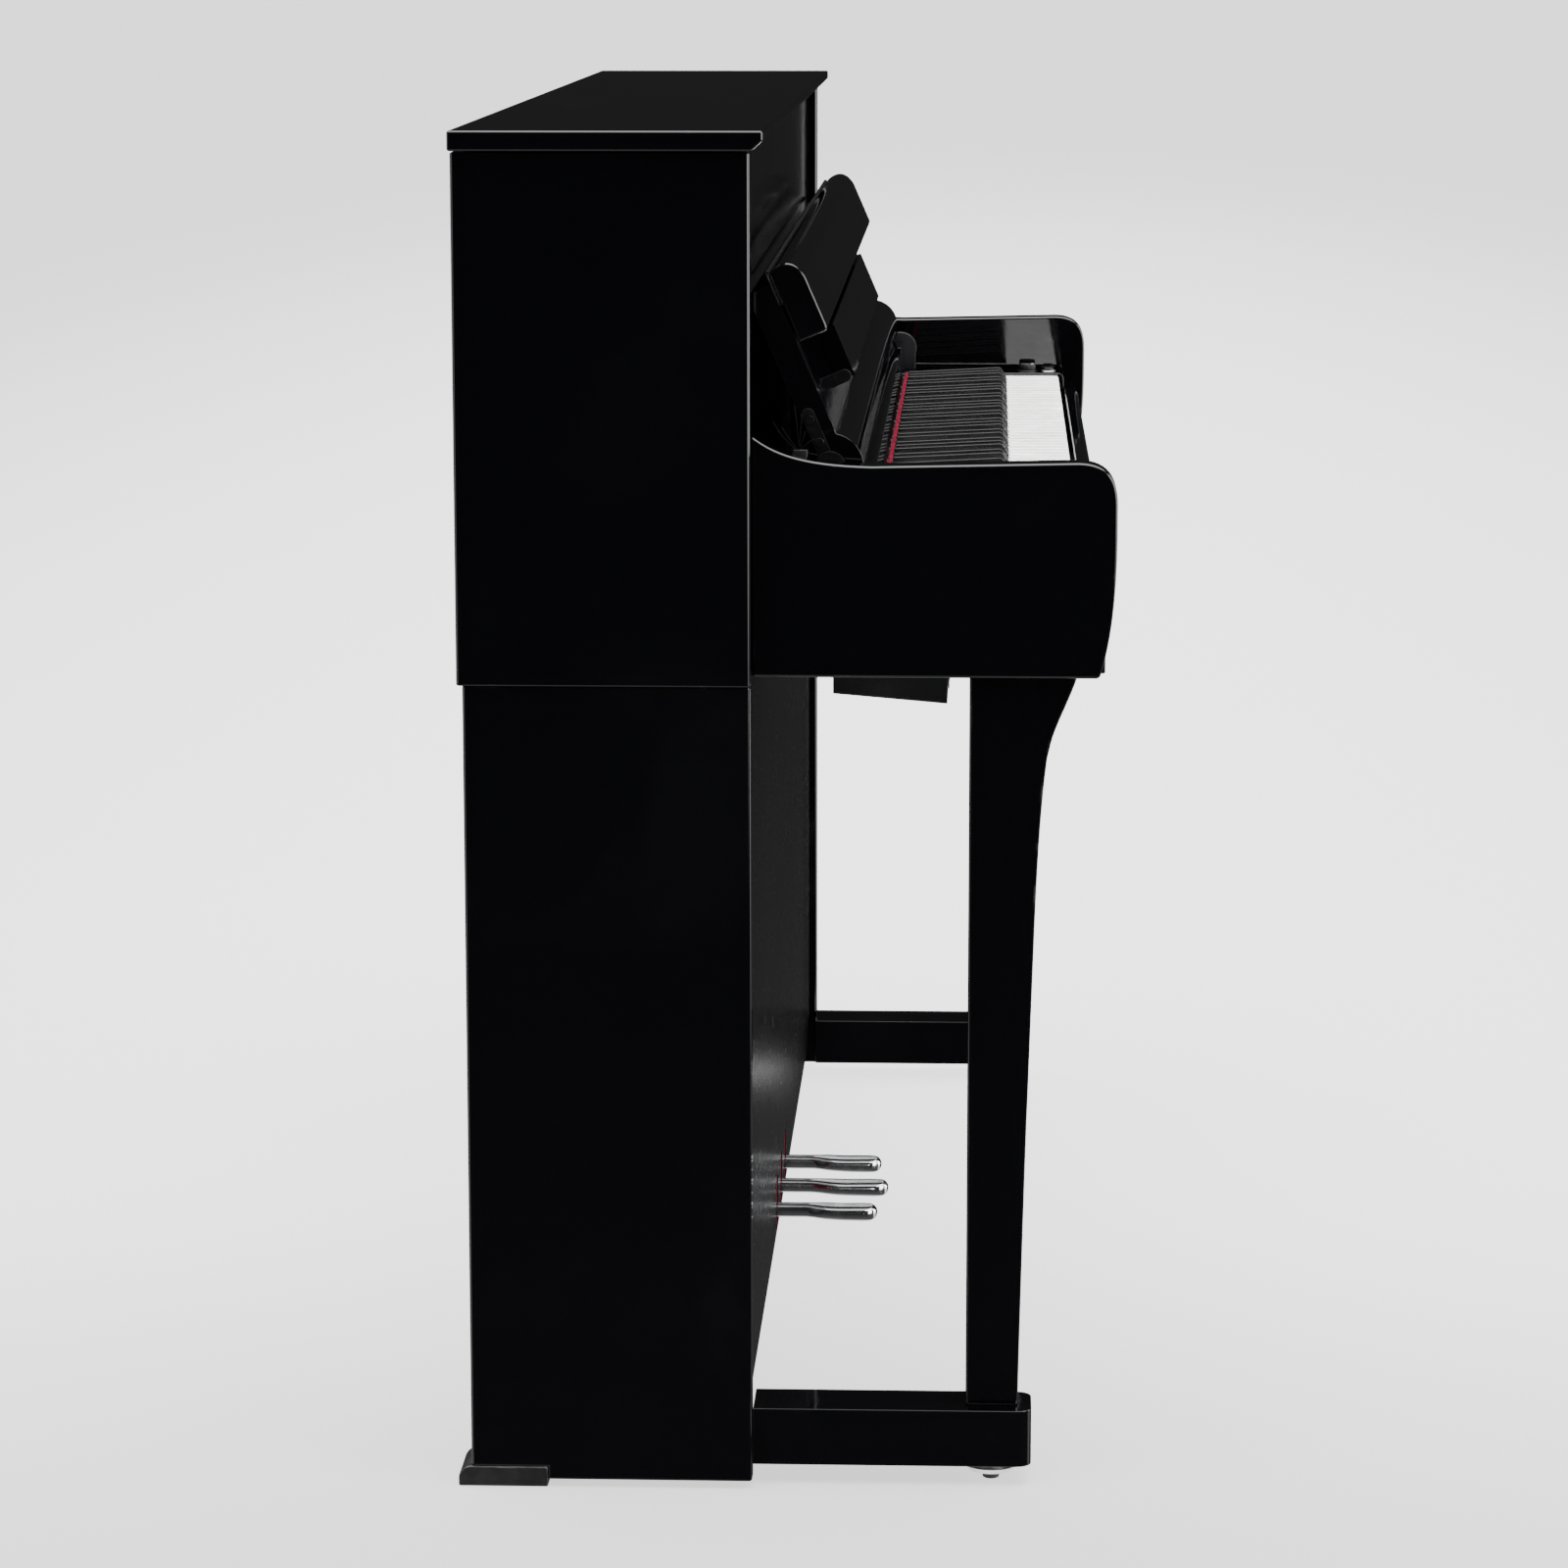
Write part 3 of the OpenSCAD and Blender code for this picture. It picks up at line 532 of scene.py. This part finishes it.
def box_into(bm, lo, hi, r, seg=2):
    """A box with its edges rounded, added to bm."""
    b2 = bmesh.new()
    bmesh.ops.create_cube(b2, size=1.0)
    for v in b2.verts:
        v.co = Vector([(lo[k] + hi[k]) / 2 * MM + v.co[k] * (hi[k] - lo[k]) * MM for k in range(3)])
    bmesh.ops.bevel(b2, geom=list(b2.edges), offset=r * MM, segments=seg, profile=0.5, affect="EDGES", clamp_overlap=True)
    tmp = bpy.data.meshes.new("t")
    b2.to_mesh(tmp)
    b2.free()
    bm.from_mesh(tmp)
    bpy.data.meshes.remove(tmp)


def smooth01(t):
    t = max(0.0, min(1.0, t))
    return t * t * (3 - 2 * t)


def cross_head(bm, mat4, r, h, turn=0.0):
    """A domed screw head with a cross recess."""
    prof = [(0.0, h)] + [(r * k / 14.0, h) for k in range(1, 13)] + [(r * 0.94, h), (r, h), (r, 0.0), (0.0, 0.0)]

    def zf(rr, a, z):
        if z <= 0.0:
            return z
        dome = h * (0.45 + 0.55 * math.sqrt(max(0.0, 1.0 - (rr / (r * 1.02)) ** 2)))
        c = min(abs(rr * math.sin(a + turn)), abs(rr * math.cos(a + turn)))
        cut = (1 - smooth01((c - 0.10 * r) / (0.07 * r))) * (1 - smooth01((rr - 0.52 * r) / (0.1 * r)))
        return dome - cut * h * 0.62
    lathe(bm, prof, 56, mat4, None, zf)


# ---------------------------------------------------------------- cabinet, lid, fallboard
WIDTH = {
    "upper_side_left": 1.6, "upper_side_right": 1.6, "lower_side_left": 1.6, "lower_side_right": 1.6,
    "arm_left": 2.4, "arm_right": 2.4, "legs": 2.2, "toe_blocks": 2.2, "rear_feet": 1.5,
    "upper_front_panel": 1.2, "lower_front_panel": 1.2, "upper_back_panel": 0.8, "lower_back_panel": 0.8,
    "bottom_board": 0.8, "inner_board": 0.8, "keybed": 1.0, "key_slip": 1.6, "key_block_left": 1.6,
    "key_block_right": 1.6, "cheek_caps": 0.8, "name_board": 1.0, "lid": 2.0,
    "fallboard_panel": 2.2, "fallboard_rail": 1.2, "fallboard_lip": 1.8, "music_ledge": 1.9,
    "lid_hinges": 0.35, "lid_hinge_straps": 0.35, "lip_hinge": 0.2, "lip_hinge_leaf": 0.2,
    "fallboard_fittings": 0.3, "fallboard_pivots": 0.4, "pedal_frame": 0.5, "key_frame": 0.4,
    "key_sensor_board": 0.3, "main_board": 0.3, "power_supply": 0.8, "woofers": 0.5,
    "headphone_box": 1.2, "ac_inlet": 0.6,
}
MATERIAL_OF = {"upper_front_panel": "soft_black", "lower_front_panel": "hazy_black"}
LEAN = math.radians(23.3)


def square_ledge(bm):
    """Brings the ledge's finely faceted long edges to one line each, so that the bevel can round them."""
    for v in bm.verts:
        dy, dz = v.co.y / MM + 34.0, v.co.z / MM - 776.0
        s, n = dy * math.sin(LEAN) + dz * math.cos(LEAN), -dy * math.cos(LEAN) + dz * math.sin(LEAN)
        for sc in (38.5, 82.5):
            for nc in (14.0, 29.4):
                if abs(s - sc) < 2.05 and abs(n - nc) < 2.05:
                    v.co.y = (-34.0 + sc * math.sin(LEAN) - nc * math.cos(LEAN)) * MM
                    v.co.z = (776.0 + sc * math.cos(LEAN) + nc * math.sin(LEAN)) * MM
    bmesh.ops.remove_doubles(bm, verts=bm.verts, dist=2e-5)


SHAPE_OF = {"music_ledge": square_ledge}
FREE_BEVEL = ("fallboard_lip", "upper_side_left", "upper_side_right", "arm_left", "arm_right", "lid")
for node, w in WIDTH.items():
    refine(node, w, 2 if w < 0.6 else 3, shape=SHAPE_OF.get(node), mat=MATERIAL_OF.get(node), clamp=node not in FREE_BEVEL)

# ---------------------------------------------------------------- keys
for node in ("keys_c", "keys_d", "keys_e", "keys_f", "keys_g", "keys_a", "keys_b"):
    refine(node, 0.5, 3)

WHITE_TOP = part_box("keys_c")[1].z
BLACK_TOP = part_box("black_keys_twos")[1].z


def taper_black(bm):
    """The playing part of a black key narrows towards its top."""
    left = set(bm.verts)
    while left:
        seed = left.pop()
        isle, stack = [seed], [seed]
        while stack:
            for e in stack.pop().link_edges:
                for v in e.verts:
                    if v in left:
                        left.discard(v)
                        isle.append(v)
                        stack.append(v)
        cx = (min(v.co.x for v in isle) + max(v.co.x for v in isle)) / 2
        for v in isle:
            t = smooth01((v.co.z - WHITE_TOP) / (BLACK_TOP - WHITE_TOP))
            v.co.x = cx + (v.co.x - cx) * (1 - 0.16 * t)


for node in ("black_keys_twos", "black_keys_threes"):
    refine(node, 1.0, 3, 24.0, taper_black)


# ---------------------------------------------------------------- felt
def felt_strip(name, node, lo, hi, slot="red_felt"):
    """A soft strip with a slightly uneven, rounded section."""
    bm = bmesh.new()
    n = 240
    loops = []
    for i in range(n + 1):
        x = lo[0] + (hi[0] - lo[0]) * i / n
        k = 0.12 * math.sin(i * 0.7) + 0.10 * math.sin(i * 1.9 + 1.0)
        y0, y1, z0, z1 = lo[1] + 0.15 + 0.12 * k, hi[1], lo[2], hi[2] - 0.12 + 0.1 * k
        loop = []
        for s in range(16):
            a = 2 * math.pi * (s + 0.5) / 16
            cx, cz = math.cos(a), math.sin(a)
            p = 0.35
            yy = (y0 + y1) / 2 + (y1 - y0) / 2 * math.copysign(abs(cx) ** p, cx)
            zz = (z0 + z1) / 2 + (z1 - z0) / 2 * math.copysign(abs(cz) ** p, cz)
            loop.append((x, yy, zz))
        loops.append(loop)
    loft(bm, loops)
    return finish_mesh(name, bm, slot, "case", [node], None, True, 50)


b0, b1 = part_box("name_board_felt")
felt_strip("name_board_felt_strip", "name_board_felt", b0 / MM, b1 / MM)
refine("pedal_felts", 0.5, 2)

# ---------------------------------------------------------------- pedals
PIV_Y, PIV_Z = 120.0, 54.0


def pedal_piece(node, x0, tip):
    bm = bmesh.new()
    ys = []
    t = 0.0
    while t < 13.0:
        ys.append(t)
        t += 0.12 + t * 0.11
    t = 13.0
    while tip + t < PIV_Y + 6.0:
        ys.append(t)
        t += 3.0
    ys.append(PIV_Y + 6.0 - tip)
    loops = []
    for t in ys:
        y = tip + t
        nose = math.sqrt(max(0.0, 1 - ((13.0 - min(t, 13.0)) / 13.0) ** 2))
        wide = 13.0 - 5.0 * smooth01((y - (tip + 44.0)) / (6.0 - (tip + 44.0)))
        w = max(0.35, min(wide, 13.0 * nose if t < 13.0 else wide))
        half = 5.2 + 0.5 * (1 - smooth01((t - 10.0) / 40.0))
        half *= math.sqrt(max(0.004, 1 - ((6.5 - min(t, 6.5)) / 6.5) ** 2.2))
        half = max(0.3, min(half, 5.7))
        mid = PIV_Z + 0.2 - 1.4 * (1 - smooth01((y + 30.0) / 36.0))
        loop = []
        for s in range(36):
            a = 2 * math.pi * s / 36
            cx, cz = math.cos(a), math.sin(a)
            side, crown = (0.42, 0.52) if cz > 0 else (0.2, 0.2)
            loop.append((x0 + w * math.copysign(abs(cx) ** side, cx), y, mid + half * math.copysign(abs(cz) ** crown, cz)))
        loops.append(loop)
    loft(bm, loops)
    lathe(bm, [(4.2, -9.0), (8.2, -9.0), (9.0, -8.2), (9.0, 8.2), (8.2, 9.0), (4.2, 9.0), (4.2, -9.0)], 48,
          basis((x0, PIV_Y, PIV_Z), (1, 0, 0)))
    return finish_mesh(node + "_piece", bm, "chrome", BODY[node], [node], None, True, 60)


pedal_piece("pedal_soft", -85.0, -57.8)
pedal_piece("pedal_sostenuto", 0.0, -65.8)
pedal_piece("pedal_damper", 85.0, -57.8)

# ---------------------------------------------------------------- adjuster discs and pads
bm = bmesh.new()
for s in (-1, 1):
    m4 = basis((s * 668.0, -158.5, 0.0), (0, 0, 1))
    lathe(bm, [(0, 7.4), (16.6, 7.4), (17.8, 7.6), (18.8, 8.2), (20.2, 9.6), (21.6, 11.2), (22.0, 11.8), (21.7, 12.2),
               (9.4, 12.2), (9.0, 12.6), (9.0, 16.0), (5.0, 16.0), (5.0, 44.0), (0, 44.0)], 96, m4,
          lambda r, z, a: r - (0.22 * (0.5 + 0.5 * math.cos(48 * a)) if 20.0 < r and 9.0 < z < 11.5 else 0.0))
finish_mesh("adjuster_discs", bm, "chrome", "case", ["adjuster_feet"], "nickel", True, 40)
bm = bmesh.new()
for s in (-1, 1):
    lathe(bm, [(0, 0.0), (5.2, 0.0), (6.2, 0.5), (6.5, 1.6), (6.4, 4.0), (6.1, 6.4), (5.6, 7.39), (0, 7.39)], 48,
          basis((s * 668.0, -158.5, 0.0), (0, 0, 1)))
finish_mesh("adjuster_pads", bm, "dark_plastic", "case", (), "rubber", True, 50)

# ---------------------------------------------------------------- knob, button, lamp
b0, b1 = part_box("volume_knob")
KX, KY = (b0.x + b1.x) / 2 / MM, (b0.y + b1.y) / 2 / MM
KT = b1.z / MM
bm = bmesh.new()
lathe(bm, [(0, 720), (3.0, 720), (3.0, 731.3), (7.7, 731.4), (8.0, 731.8), (8.0, KT - 1.8), (7.6, KT - 0.6), (6.9, KT - 0.05),
           (6.2, KT), (5.6, KT - 0.25), (0, KT - 0.45)], 192, basis((KX, KY, 0), (0, 0, 1)),
      lambda r, z, a: r - (0.32 * (0.5 + 0.5 * math.cos(40 * a)) if r > 7.5 and 731.7 < z < KT - 1.0 else 0.0))
finish_mesh("volume_knob_piece", bm, "dark_plastic", "volume_knob", ["volume_knob"], None, True, 35)
bm = bmesh.new()
box_into(bm, (KX - 0.4, KY - 7.2, KT - 0.5), (KX + 0.4, KY - 3.6, KT - 0.08), 0.15)
finish_mesh("volume_mark", bm, "lamp", "volume_knob", ())
bm = bmesh.new()
lathe(bm, [(8.7, 731.0), (9.6, 731.0), (9.6, 731.5), (9.3, 731.8), (8.9, 731.8), (8.6, 731.5), (8.7, 731.0)], 96, basis((KX, KY, 0), (0, 0, 1)))
finish_mesh("volume_ring", bm, "dark_plastic", "case", (), None, True, 40)

b0, b1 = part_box("power_button")
PX, PY, PT = (b0.x + b1.x) / 2 / MM, (b0.y + b1.y) / 2 / MM, b1.z / MM
bm = bmesh.new()
lathe(bm, [(0, 725.6), (4.9, 725.6), (4.95, PT - 0.9), (4.7, PT - 0.3), (4.1, PT), (3.6, PT - 0.02), (2.4, PT - 0.35), (0, PT - 0.5)], 72,
      basis((PX, PY, 0), (0, 0, 1)))
finish_mesh("power_button_piece", bm, "dark_plastic", "power_button", ["power_button"], None, True, 50)
bm = bmesh.new()
lathe(bm, [(5.3, 730.9), (6.9, 730.9), (7.0, 731.2), (6.7, 731.6), (5.7, 731.7), (5.35, 731.5), (5.3, 730.9)], 72, basis((PX, PY, 0), (0, 0, 1)))
finish_mesh("power_button_ring", bm, "steel", "case", (), None, True, 40)

b0, b1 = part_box("power_lamp")
bm = bmesh.new()
lathe(bm, [(0, 0.0), (2.6, 0.0), (2.6, 0.25), (2.3, 0.55), (1.6, 0.78), (0.8, 0.87), (0, 0.9)], 40,
      basis(((b0.x + b1.x) / 2 / MM, b1.y / MM, (b0.z + b1.z) / 2 / MM), (0, -1, 0)))
finish_mesh("power_lamp_lens", bm, "lamp", "case", ["power_lamp"], None, True, 60)

# ---------------------------------------------------------------- screws
bm = bmesh.new()
for x in (-660, -440, -220, 0, 220, 440, 660):
    for y, z in ((241.0, 634), (241.0, 970), (237.0, 44), (237.0, 606)):
        cross_head(bm, basis((x, y, z), (0, 1, 0)), 3.9, 1.75, rnd.uniform(0, 1.5))
finish_mesh("panel_screw_heads", bm, "steel", "case", ["panel_screws"], None, True, 45)
bm = bmesh.new()
for x in (-520, 0, 520):
    for k in (-30, -11, 11, 30):
        cross_head(bm, basis((x + k, 242.6, 995), (0, 1, 0)), 2.7, 0.9, rnd.uniform(0, 1.5))
finish_mesh("hinge_screw_heads", bm, "steel", "case", (), None, True, 45)
bm = bmesh.new()
for x in (-520, 0, 520):
    for k in (-30, -11, 11, 30):
        cross_head(bm, basis((x + k, 222, 1010.4), (0, 0, -1)), 2.7, 0.7, rnd.uniform(0, 1.5))
finish_mesh("strap_screw_heads", bm, "steel", "lid", (), None, True, 45)

# ---------------------------------------------------------------- sockets
bm = bmesh.new()
for x in (-622.0, -590.0):
    lathe(bm, [(3.4, -0.2), (3.4, 1.2), (3.7, 1.5), (4.6, 1.5), (5.2, 1.0), (5.4, 0.0), (5.4, -0.2), (3.4, -0.2)], 60,
          basis((x, -122.0, 610.0), (0, -1, 0)))
finish_mesh("headphone_rings", bm, "steel", "case", (), None, True, 40)
bm = bmesh.new()
for x, z in ((-557.0, 106.5), (-543.0, 106.5), (-550.0, 111.0)):
    box_into(bm, (x - 1.0, 214.2, z - 2.0), (x + 1.0, 231.0, z + 2.0), 0.5)
finish_mesh("inlet_pins", bm, "steel", "case", ())
bm = bmesh.new()
for x in (-570.0, -530.0):
    cross_head(bm, basis((x, 240.0, 108.0), (0, 1, 0)), 2.5, 0.9, 0.4)
finish_mesh("inlet_screw_heads", bm, "steel", "case", (), None, True, 45)

# ---------------------------------------------------------------- speaker grilles
bm = bmesh.new()
for x in (-380.0, 380.0):
    lathe(bm, [(68.0, 0.0), (77.6, 0.0), (78.0, 0.5), (78.0, 1.8), (77.2, 2.7), (76.0, 3.0), (71.5, 3.0), (70.2, 2.6), (69.4, 1.6), (68.0, 1.2),
               (68.0, 0.0)], 120, basis((x, 237.0, 360.0), (0, 1, 0)))
finish_mesh("speaker_grille_rings", bm, "dark_plastic", "case", ["speaker_grilles"], None, True, 40)
bm = bmesh.new()
for x in (-380.0, 380.0):
    prof = [(0.0, 2.5)] + [(69.6 * k / 14, 0.9 + 1.6 * (1 - (k / 14) ** 2)) for k in range(1, 15)] + [(69.6, 0.4), (0.0, 0.4)]
    lathe(bm, prof, 96, basis((x, 237.0, 360.0), (0, 1, 0)))
finish_mesh("speaker_grille_cloth", bm, "grille", "case", (), None, True, 60)


# ---------------------------------------------------------------- damper straps beside the fallboard
def ribbon(bm, pts, x0, x1, t):
    """A thin bent strap that follows (Y, Z) points, from x0 to x1."""
    n = len(pts)
    loops = []
    for i, (y, z) in enumerate(pts):
        a, b = pts[max(0, i - 1)], pts[min(n - 1, i + 1)]
        d = Vector((b[0] - a[0], b[1] - a[1])).normalized()
        p = Vector((-d.y, d.x)) * t / 2
        loops.append([(x0, y + p.x, z + p.y), (x1, y + p.x, z + p.y), (x1, y - p.x, z - p.y), (x0, y - p.x, z - p.y)])
    loft(bm, loops)


def curve(p0, p1, p2, n=14):
    return [((1 - t) ** 2 * p0[0] + 2 * t * (1 - t) * p1[0] + t * t * p2[0],
             (1 - t) ** 2 * p0[1] + 2 * t * (1 - t) * p1[1] + t * t * p2[1]) for t in [i / n for i in range(n + 1)]]


bm = bmesh.new()
for s in (-1, 1):
    xa, xb = sorted((s * 657.6, s * 662.6))
    for tip, bend in (((8.1, 810.5), (1.0, 797.0)), ((1.6, 806.5), (-4.0, 797.0)), ((-7.6, 822.5), (-10.2, 806.0)),
                      ((-12.9, 816.0), (-12.4, 803.0)), ((-15.6, 803.0), (-14.0, 797.0)), ((-23.0, 797.5), (-17.0, 796.0))):
        ribbon(bm, curve(tip, bend, (-11.4, 788.6)), xa, xb, 0.9)
finish_mesh("damper_straps", bm, "steel", "case", (), "black_steel", True, 50)
bm = bmesh.new()
for s in (-1, 1):
    x0, x1 = sorted((s * 656.9, s * 663.2))
    box_into(bm, (x0, -17.5, 779.5), (x1, -6.5, 790.0), 0.8)
finish_mesh("damper_clamps", bm, "dark_plastic", "case", ())

# ---------------------------------------------------------------- floor, light, camera
me = bpy.data.meshes.new("floor")
bm = bmesh.new()
lathe(bm, [(0, 0)] + [(r * 1000.0, 0) for r in (0.5, 1, 1.5, 2, 3, 5, 8, 14, 25, 60, 160)], 96, Matrix.Translation((0, 0, -0.0002)))
bm.to_mesh(me)
bm.free()
floor = bpy.data.objects.new("floor", me)
COLL.objects.link(floor)
m = bpy.data.materials.new("floor_glow_painted_pool")
m.use_nodes = True
t = m.node_tree
t.nodes.clear()


def add(kind, **p):
    n = t.nodes.new(kind)
    for k, v in p.items():
        setattr(n, k, v)
    return n


co = add("ShaderNodeTexCoord").outputs["Object"]


def fmath(op, a, b=0.0):
    n = add("ShaderNodeMath", operation=op)
    for k, v in zip(n.inputs, (a, b)):
        if isinstance(v, bpy.types.NodeSocket):
            t.links.new(v, k)
        else:
            k.default_value = v
    return n.outputs[0]


def ffit(v, lo, hi, a=0.0, b=1.0):
    n = add("ShaderNodeMapRange", interpolation_type="SMOOTHSTEP")
    t.links.new(v, n.inputs["Value"])
    for k, x in (("From Min", lo), ("From Max", hi), ("To Min", a), ("To Max", b)):
        n.inputs[k].default_value = x
    return n.outputs[0]


# The floor mostly glows: a painted pool of light, brightest in a long ellipse around the piano and dimmer towards the
# camera side, over an even glow, with a little real diffuse mixed in.
mp = add("ShaderNodeMapping")
mp.inputs["Scale"].default_value = (0.075, 0.42, 1.0)
t.links.new(co, mp.inputs["Vector"])
ln = add("ShaderNodeVectorMath", operation="LENGTH")
t.links.new(mp.outputs[0], ln.inputs[0])
fs = add("ShaderNodeSeparateXYZ")
t.links.new(co, fs.inputs[0])
painted_light_pool = fmath("MULTIPLY", ffit(ln.outputs["Value"], 0.12, 1.7, 1.0, 0.0), ffit(fs.outputs[0], -1.1, 0.3, 0.2, 1.0))
lit = fmath("ADD", fmath("MULTIPLY", painted_light_pool, 1.75), 0.85)
gn = add("ShaderNodeTexNoise")
gn.inputs["Scale"].default_value = 260.0
t.links.new(co, gn.inputs["Vector"])
gr = add("ShaderNodeMapRange")
t.links.new(gn.outputs["Fac"], gr.inputs["Value"])
gr.inputs["To Min"].default_value = 0.985
gr.inputs["To Max"].default_value = 1.015
mu = add("ShaderNodeMath", operation="MULTIPLY")
t.links.new(lit, mu.inputs[0])
t.links.new(gr.outputs[0], mu.inputs[1])
em = add("ShaderNodeEmission")
em.inputs["Color"].default_value = (1.0, 1.0, 1.0, 1.0)
t.links.new(mu.outputs[0], em.inputs["Strength"])
df = add("ShaderNodeBsdfDiffuse")
df.inputs["Color"].default_value = (0.7, 0.7, 0.7, 1.0)
ms = add("ShaderNodeMixShader")
ms.inputs[0].default_value = 0.18
t.links.new(em.outputs[0], ms.inputs[1])
t.links.new(df.outputs[0], ms.inputs[2])
t.links.new(ms.outputs[0], add("ShaderNodeOutputMaterial").inputs[0])
me.materials.append(m)
floor.visible_glossy = False
# Glowing discs of the floor material just above the floor under the adjuster feet; unlike the floor they show in
# reflections, so they put a painted glow into the disc rims.
for k, sx in enumerate((-1, 1)):
    pm = bpy.data.meshes.new("rim_glow_disc")
    bm = bmesh.new()
    lathe(bm, [(0, 0), (20, 0), (40, 0), (55, 0)], 48, basis((sx * 678.0, -158.5, -0.05), (0, 0, 1)))
    bm.to_mesh(pm)
    bm.free()
    pm.materials.append(m)
    po = bpy.data.objects.new("floor_patch_%d" % k, pm)
    COLL.objects.link(po)

card = bpy.data.lights.new("pedal_card", "AREA")
card.shape = "RECTANGLE"
card.size, card.size_y = 0.5, 0.16
card.energy = 0.27
card_ob = bpy.data.objects.new("pedal_card", card)
COLL.objects.link(card_ob)
card_ob.matrix_world = Matrix.Translation((1.5, -0.05, 0.47)) @ (Vector((0, 0, 1)).rotation_difference(Vector((0.96, 0.0, 0.27)))).to_matrix().to_4x4() @ Matrix.Rotation(math.pi / 2, 4, "Z")
card_ob.visible_camera = False
sky = bpy.data.lights.new("pedal_sky", "AREA")
sky.shape = "RECTANGLE"
sky.size, sky.size_y = 0.62, 0.24
sky.energy = 0.55
sky_ob = bpy.data.objects.new("pedal_sky", sky)
COLL.objects.link(sky_ob)
sky_ob.location = (0.0, -0.10, 0.600)
sky_ob.visible_camera = False

world = bpy.data.worlds.new("studio")
bpy.context.scene.world = world
world.use_nodes = True
t = world.node_tree
t.nodes.clear()
gen = add("ShaderNodeTexCoord").outputs["Generated"]
sep = add("ShaderNodeSeparateXYZ")
t.links.new(gen, sep.inputs[0])


def wmath(op, a, b=0.0):
    n = add("ShaderNodeMath", operation=op)
    for s, v in zip(n.inputs, (a, b)):
        if isinstance(v, bpy.types.NodeSocket):
            t.links.new(v, s)
        else:
            s.default_value = v
    return n.outputs[0]


def wfit(v, lo, hi, a=0.0, b=1.0):
    n = add("ShaderNodeMapRange", interpolation_type="SMOOTHSTEP")
    t.links.new(v, n.inputs["Value"])
    for k, x in (("From Min", lo), ("From Max", hi), ("To Min", a), ("To Max", b)):
        n.inputs[k].default_value = x
    return n.outputs[0]


az = wmath("ARCTAN2", sep.outputs[1], sep.outputs[0])
up = sep.outputs[2]


def panel(a0, a1, z0, z1, soft, strength):
    """A soft light panel between two compass angles in degrees and two heights."""
    a0, a1, s = math.radians(a0), math.radians(a1), math.radians(soft)
    f = wmath("MULTIPLY", wfit(az, a0, a0 + s), wfit(az, a1, a1 - s))
    g = wmath("MULTIPLY", wfit(up, z0, z0 + 0.12), wfit(up, z1, z1 - 0.12))
    return wmath("MULTIPLY", wmath("MULTIPLY", f, g), strength)


light = wfit(up, 0.66, 0.80, 0.0, 7.0)
for args in ((-84, -54, -0.26, 0.62, 7, 9.0), (-84, -54, -0.85, -0.12, 7, 0.9), (58, 84, -0.4, 0.62, 7, 3.0),
             (104, 128, -0.4, 0.62, 7, 3.0), (-136, -100, -0.20, 0.62, 7, 8.0)):
    light = wmath("ADD", light, panel(*args))
light = wmath("ADD", light, wfit(up, -0.38, -0.65, 0.0, 0.6))
light = wmath("ADD", light, wfit(up, -0.10, -0.36, 0.019, 0.065))
lp = add("ShaderNodeLightPath")
bgc = add("ShaderNodeBackground")
bgc.inputs["Color"].default_value = (1, 1, 1, 1)
bgc.inputs["Strength"].default_value = 0.80
bgl = add("ShaderNodeBackground")
bgl.inputs["Color"].default_value = (1, 1, 1, 1)
lift = wmath("ADD", wmath("MULTIPLY", lp.outputs["Is Diffuse Ray"], 2.1), 1.0)
t.links.new(wmath("MULTIPLY", light, lift), bgl.inputs["Strength"])
mx = add("ShaderNodeMixShader")
t.links.new(lp.outputs["Is Camera Ray"], mx.inputs[0])
t.links.new(bgl.outputs[0], mx.inputs[1])
t.links.new(bgc.outputs[0], mx.inputs[2])
t.links.new(mx.outputs[0], add("ShaderNodeOutputWorld").inputs[0])

cam = bpy.data.cameras.new("camera")
cam.sensor_width = 36.0
cam.lens = 112.648
cam.clip_end = 400.0
cam_ob = bpy.data.objects.new("camera", cam)
COLL.objects.link(cam_ob)
yaw, pitch, roll = 0.04199, -0.17449, -0.00084
fw = Vector((math.cos(pitch) * math.cos(yaw), math.cos(pitch) * math.sin(yaw), math.sin(pitch)))
rt = fw.cross(Vector((0, 0, 1))).normalized()
uv = rt.cross(fw)
r2 = rt * math.cos(roll) + uv * math.sin(roll)
u2 = -rt * math.sin(roll) + uv * math.cos(roll)
rot = Matrix((r2, u2, -fw)).transposed().to_4x4()
cam_ob.matrix_world = Matrix.Translation((-4.28957, -0.15218, 1.17784)) @ rot
bpy.context.scene.camera = cam_ob
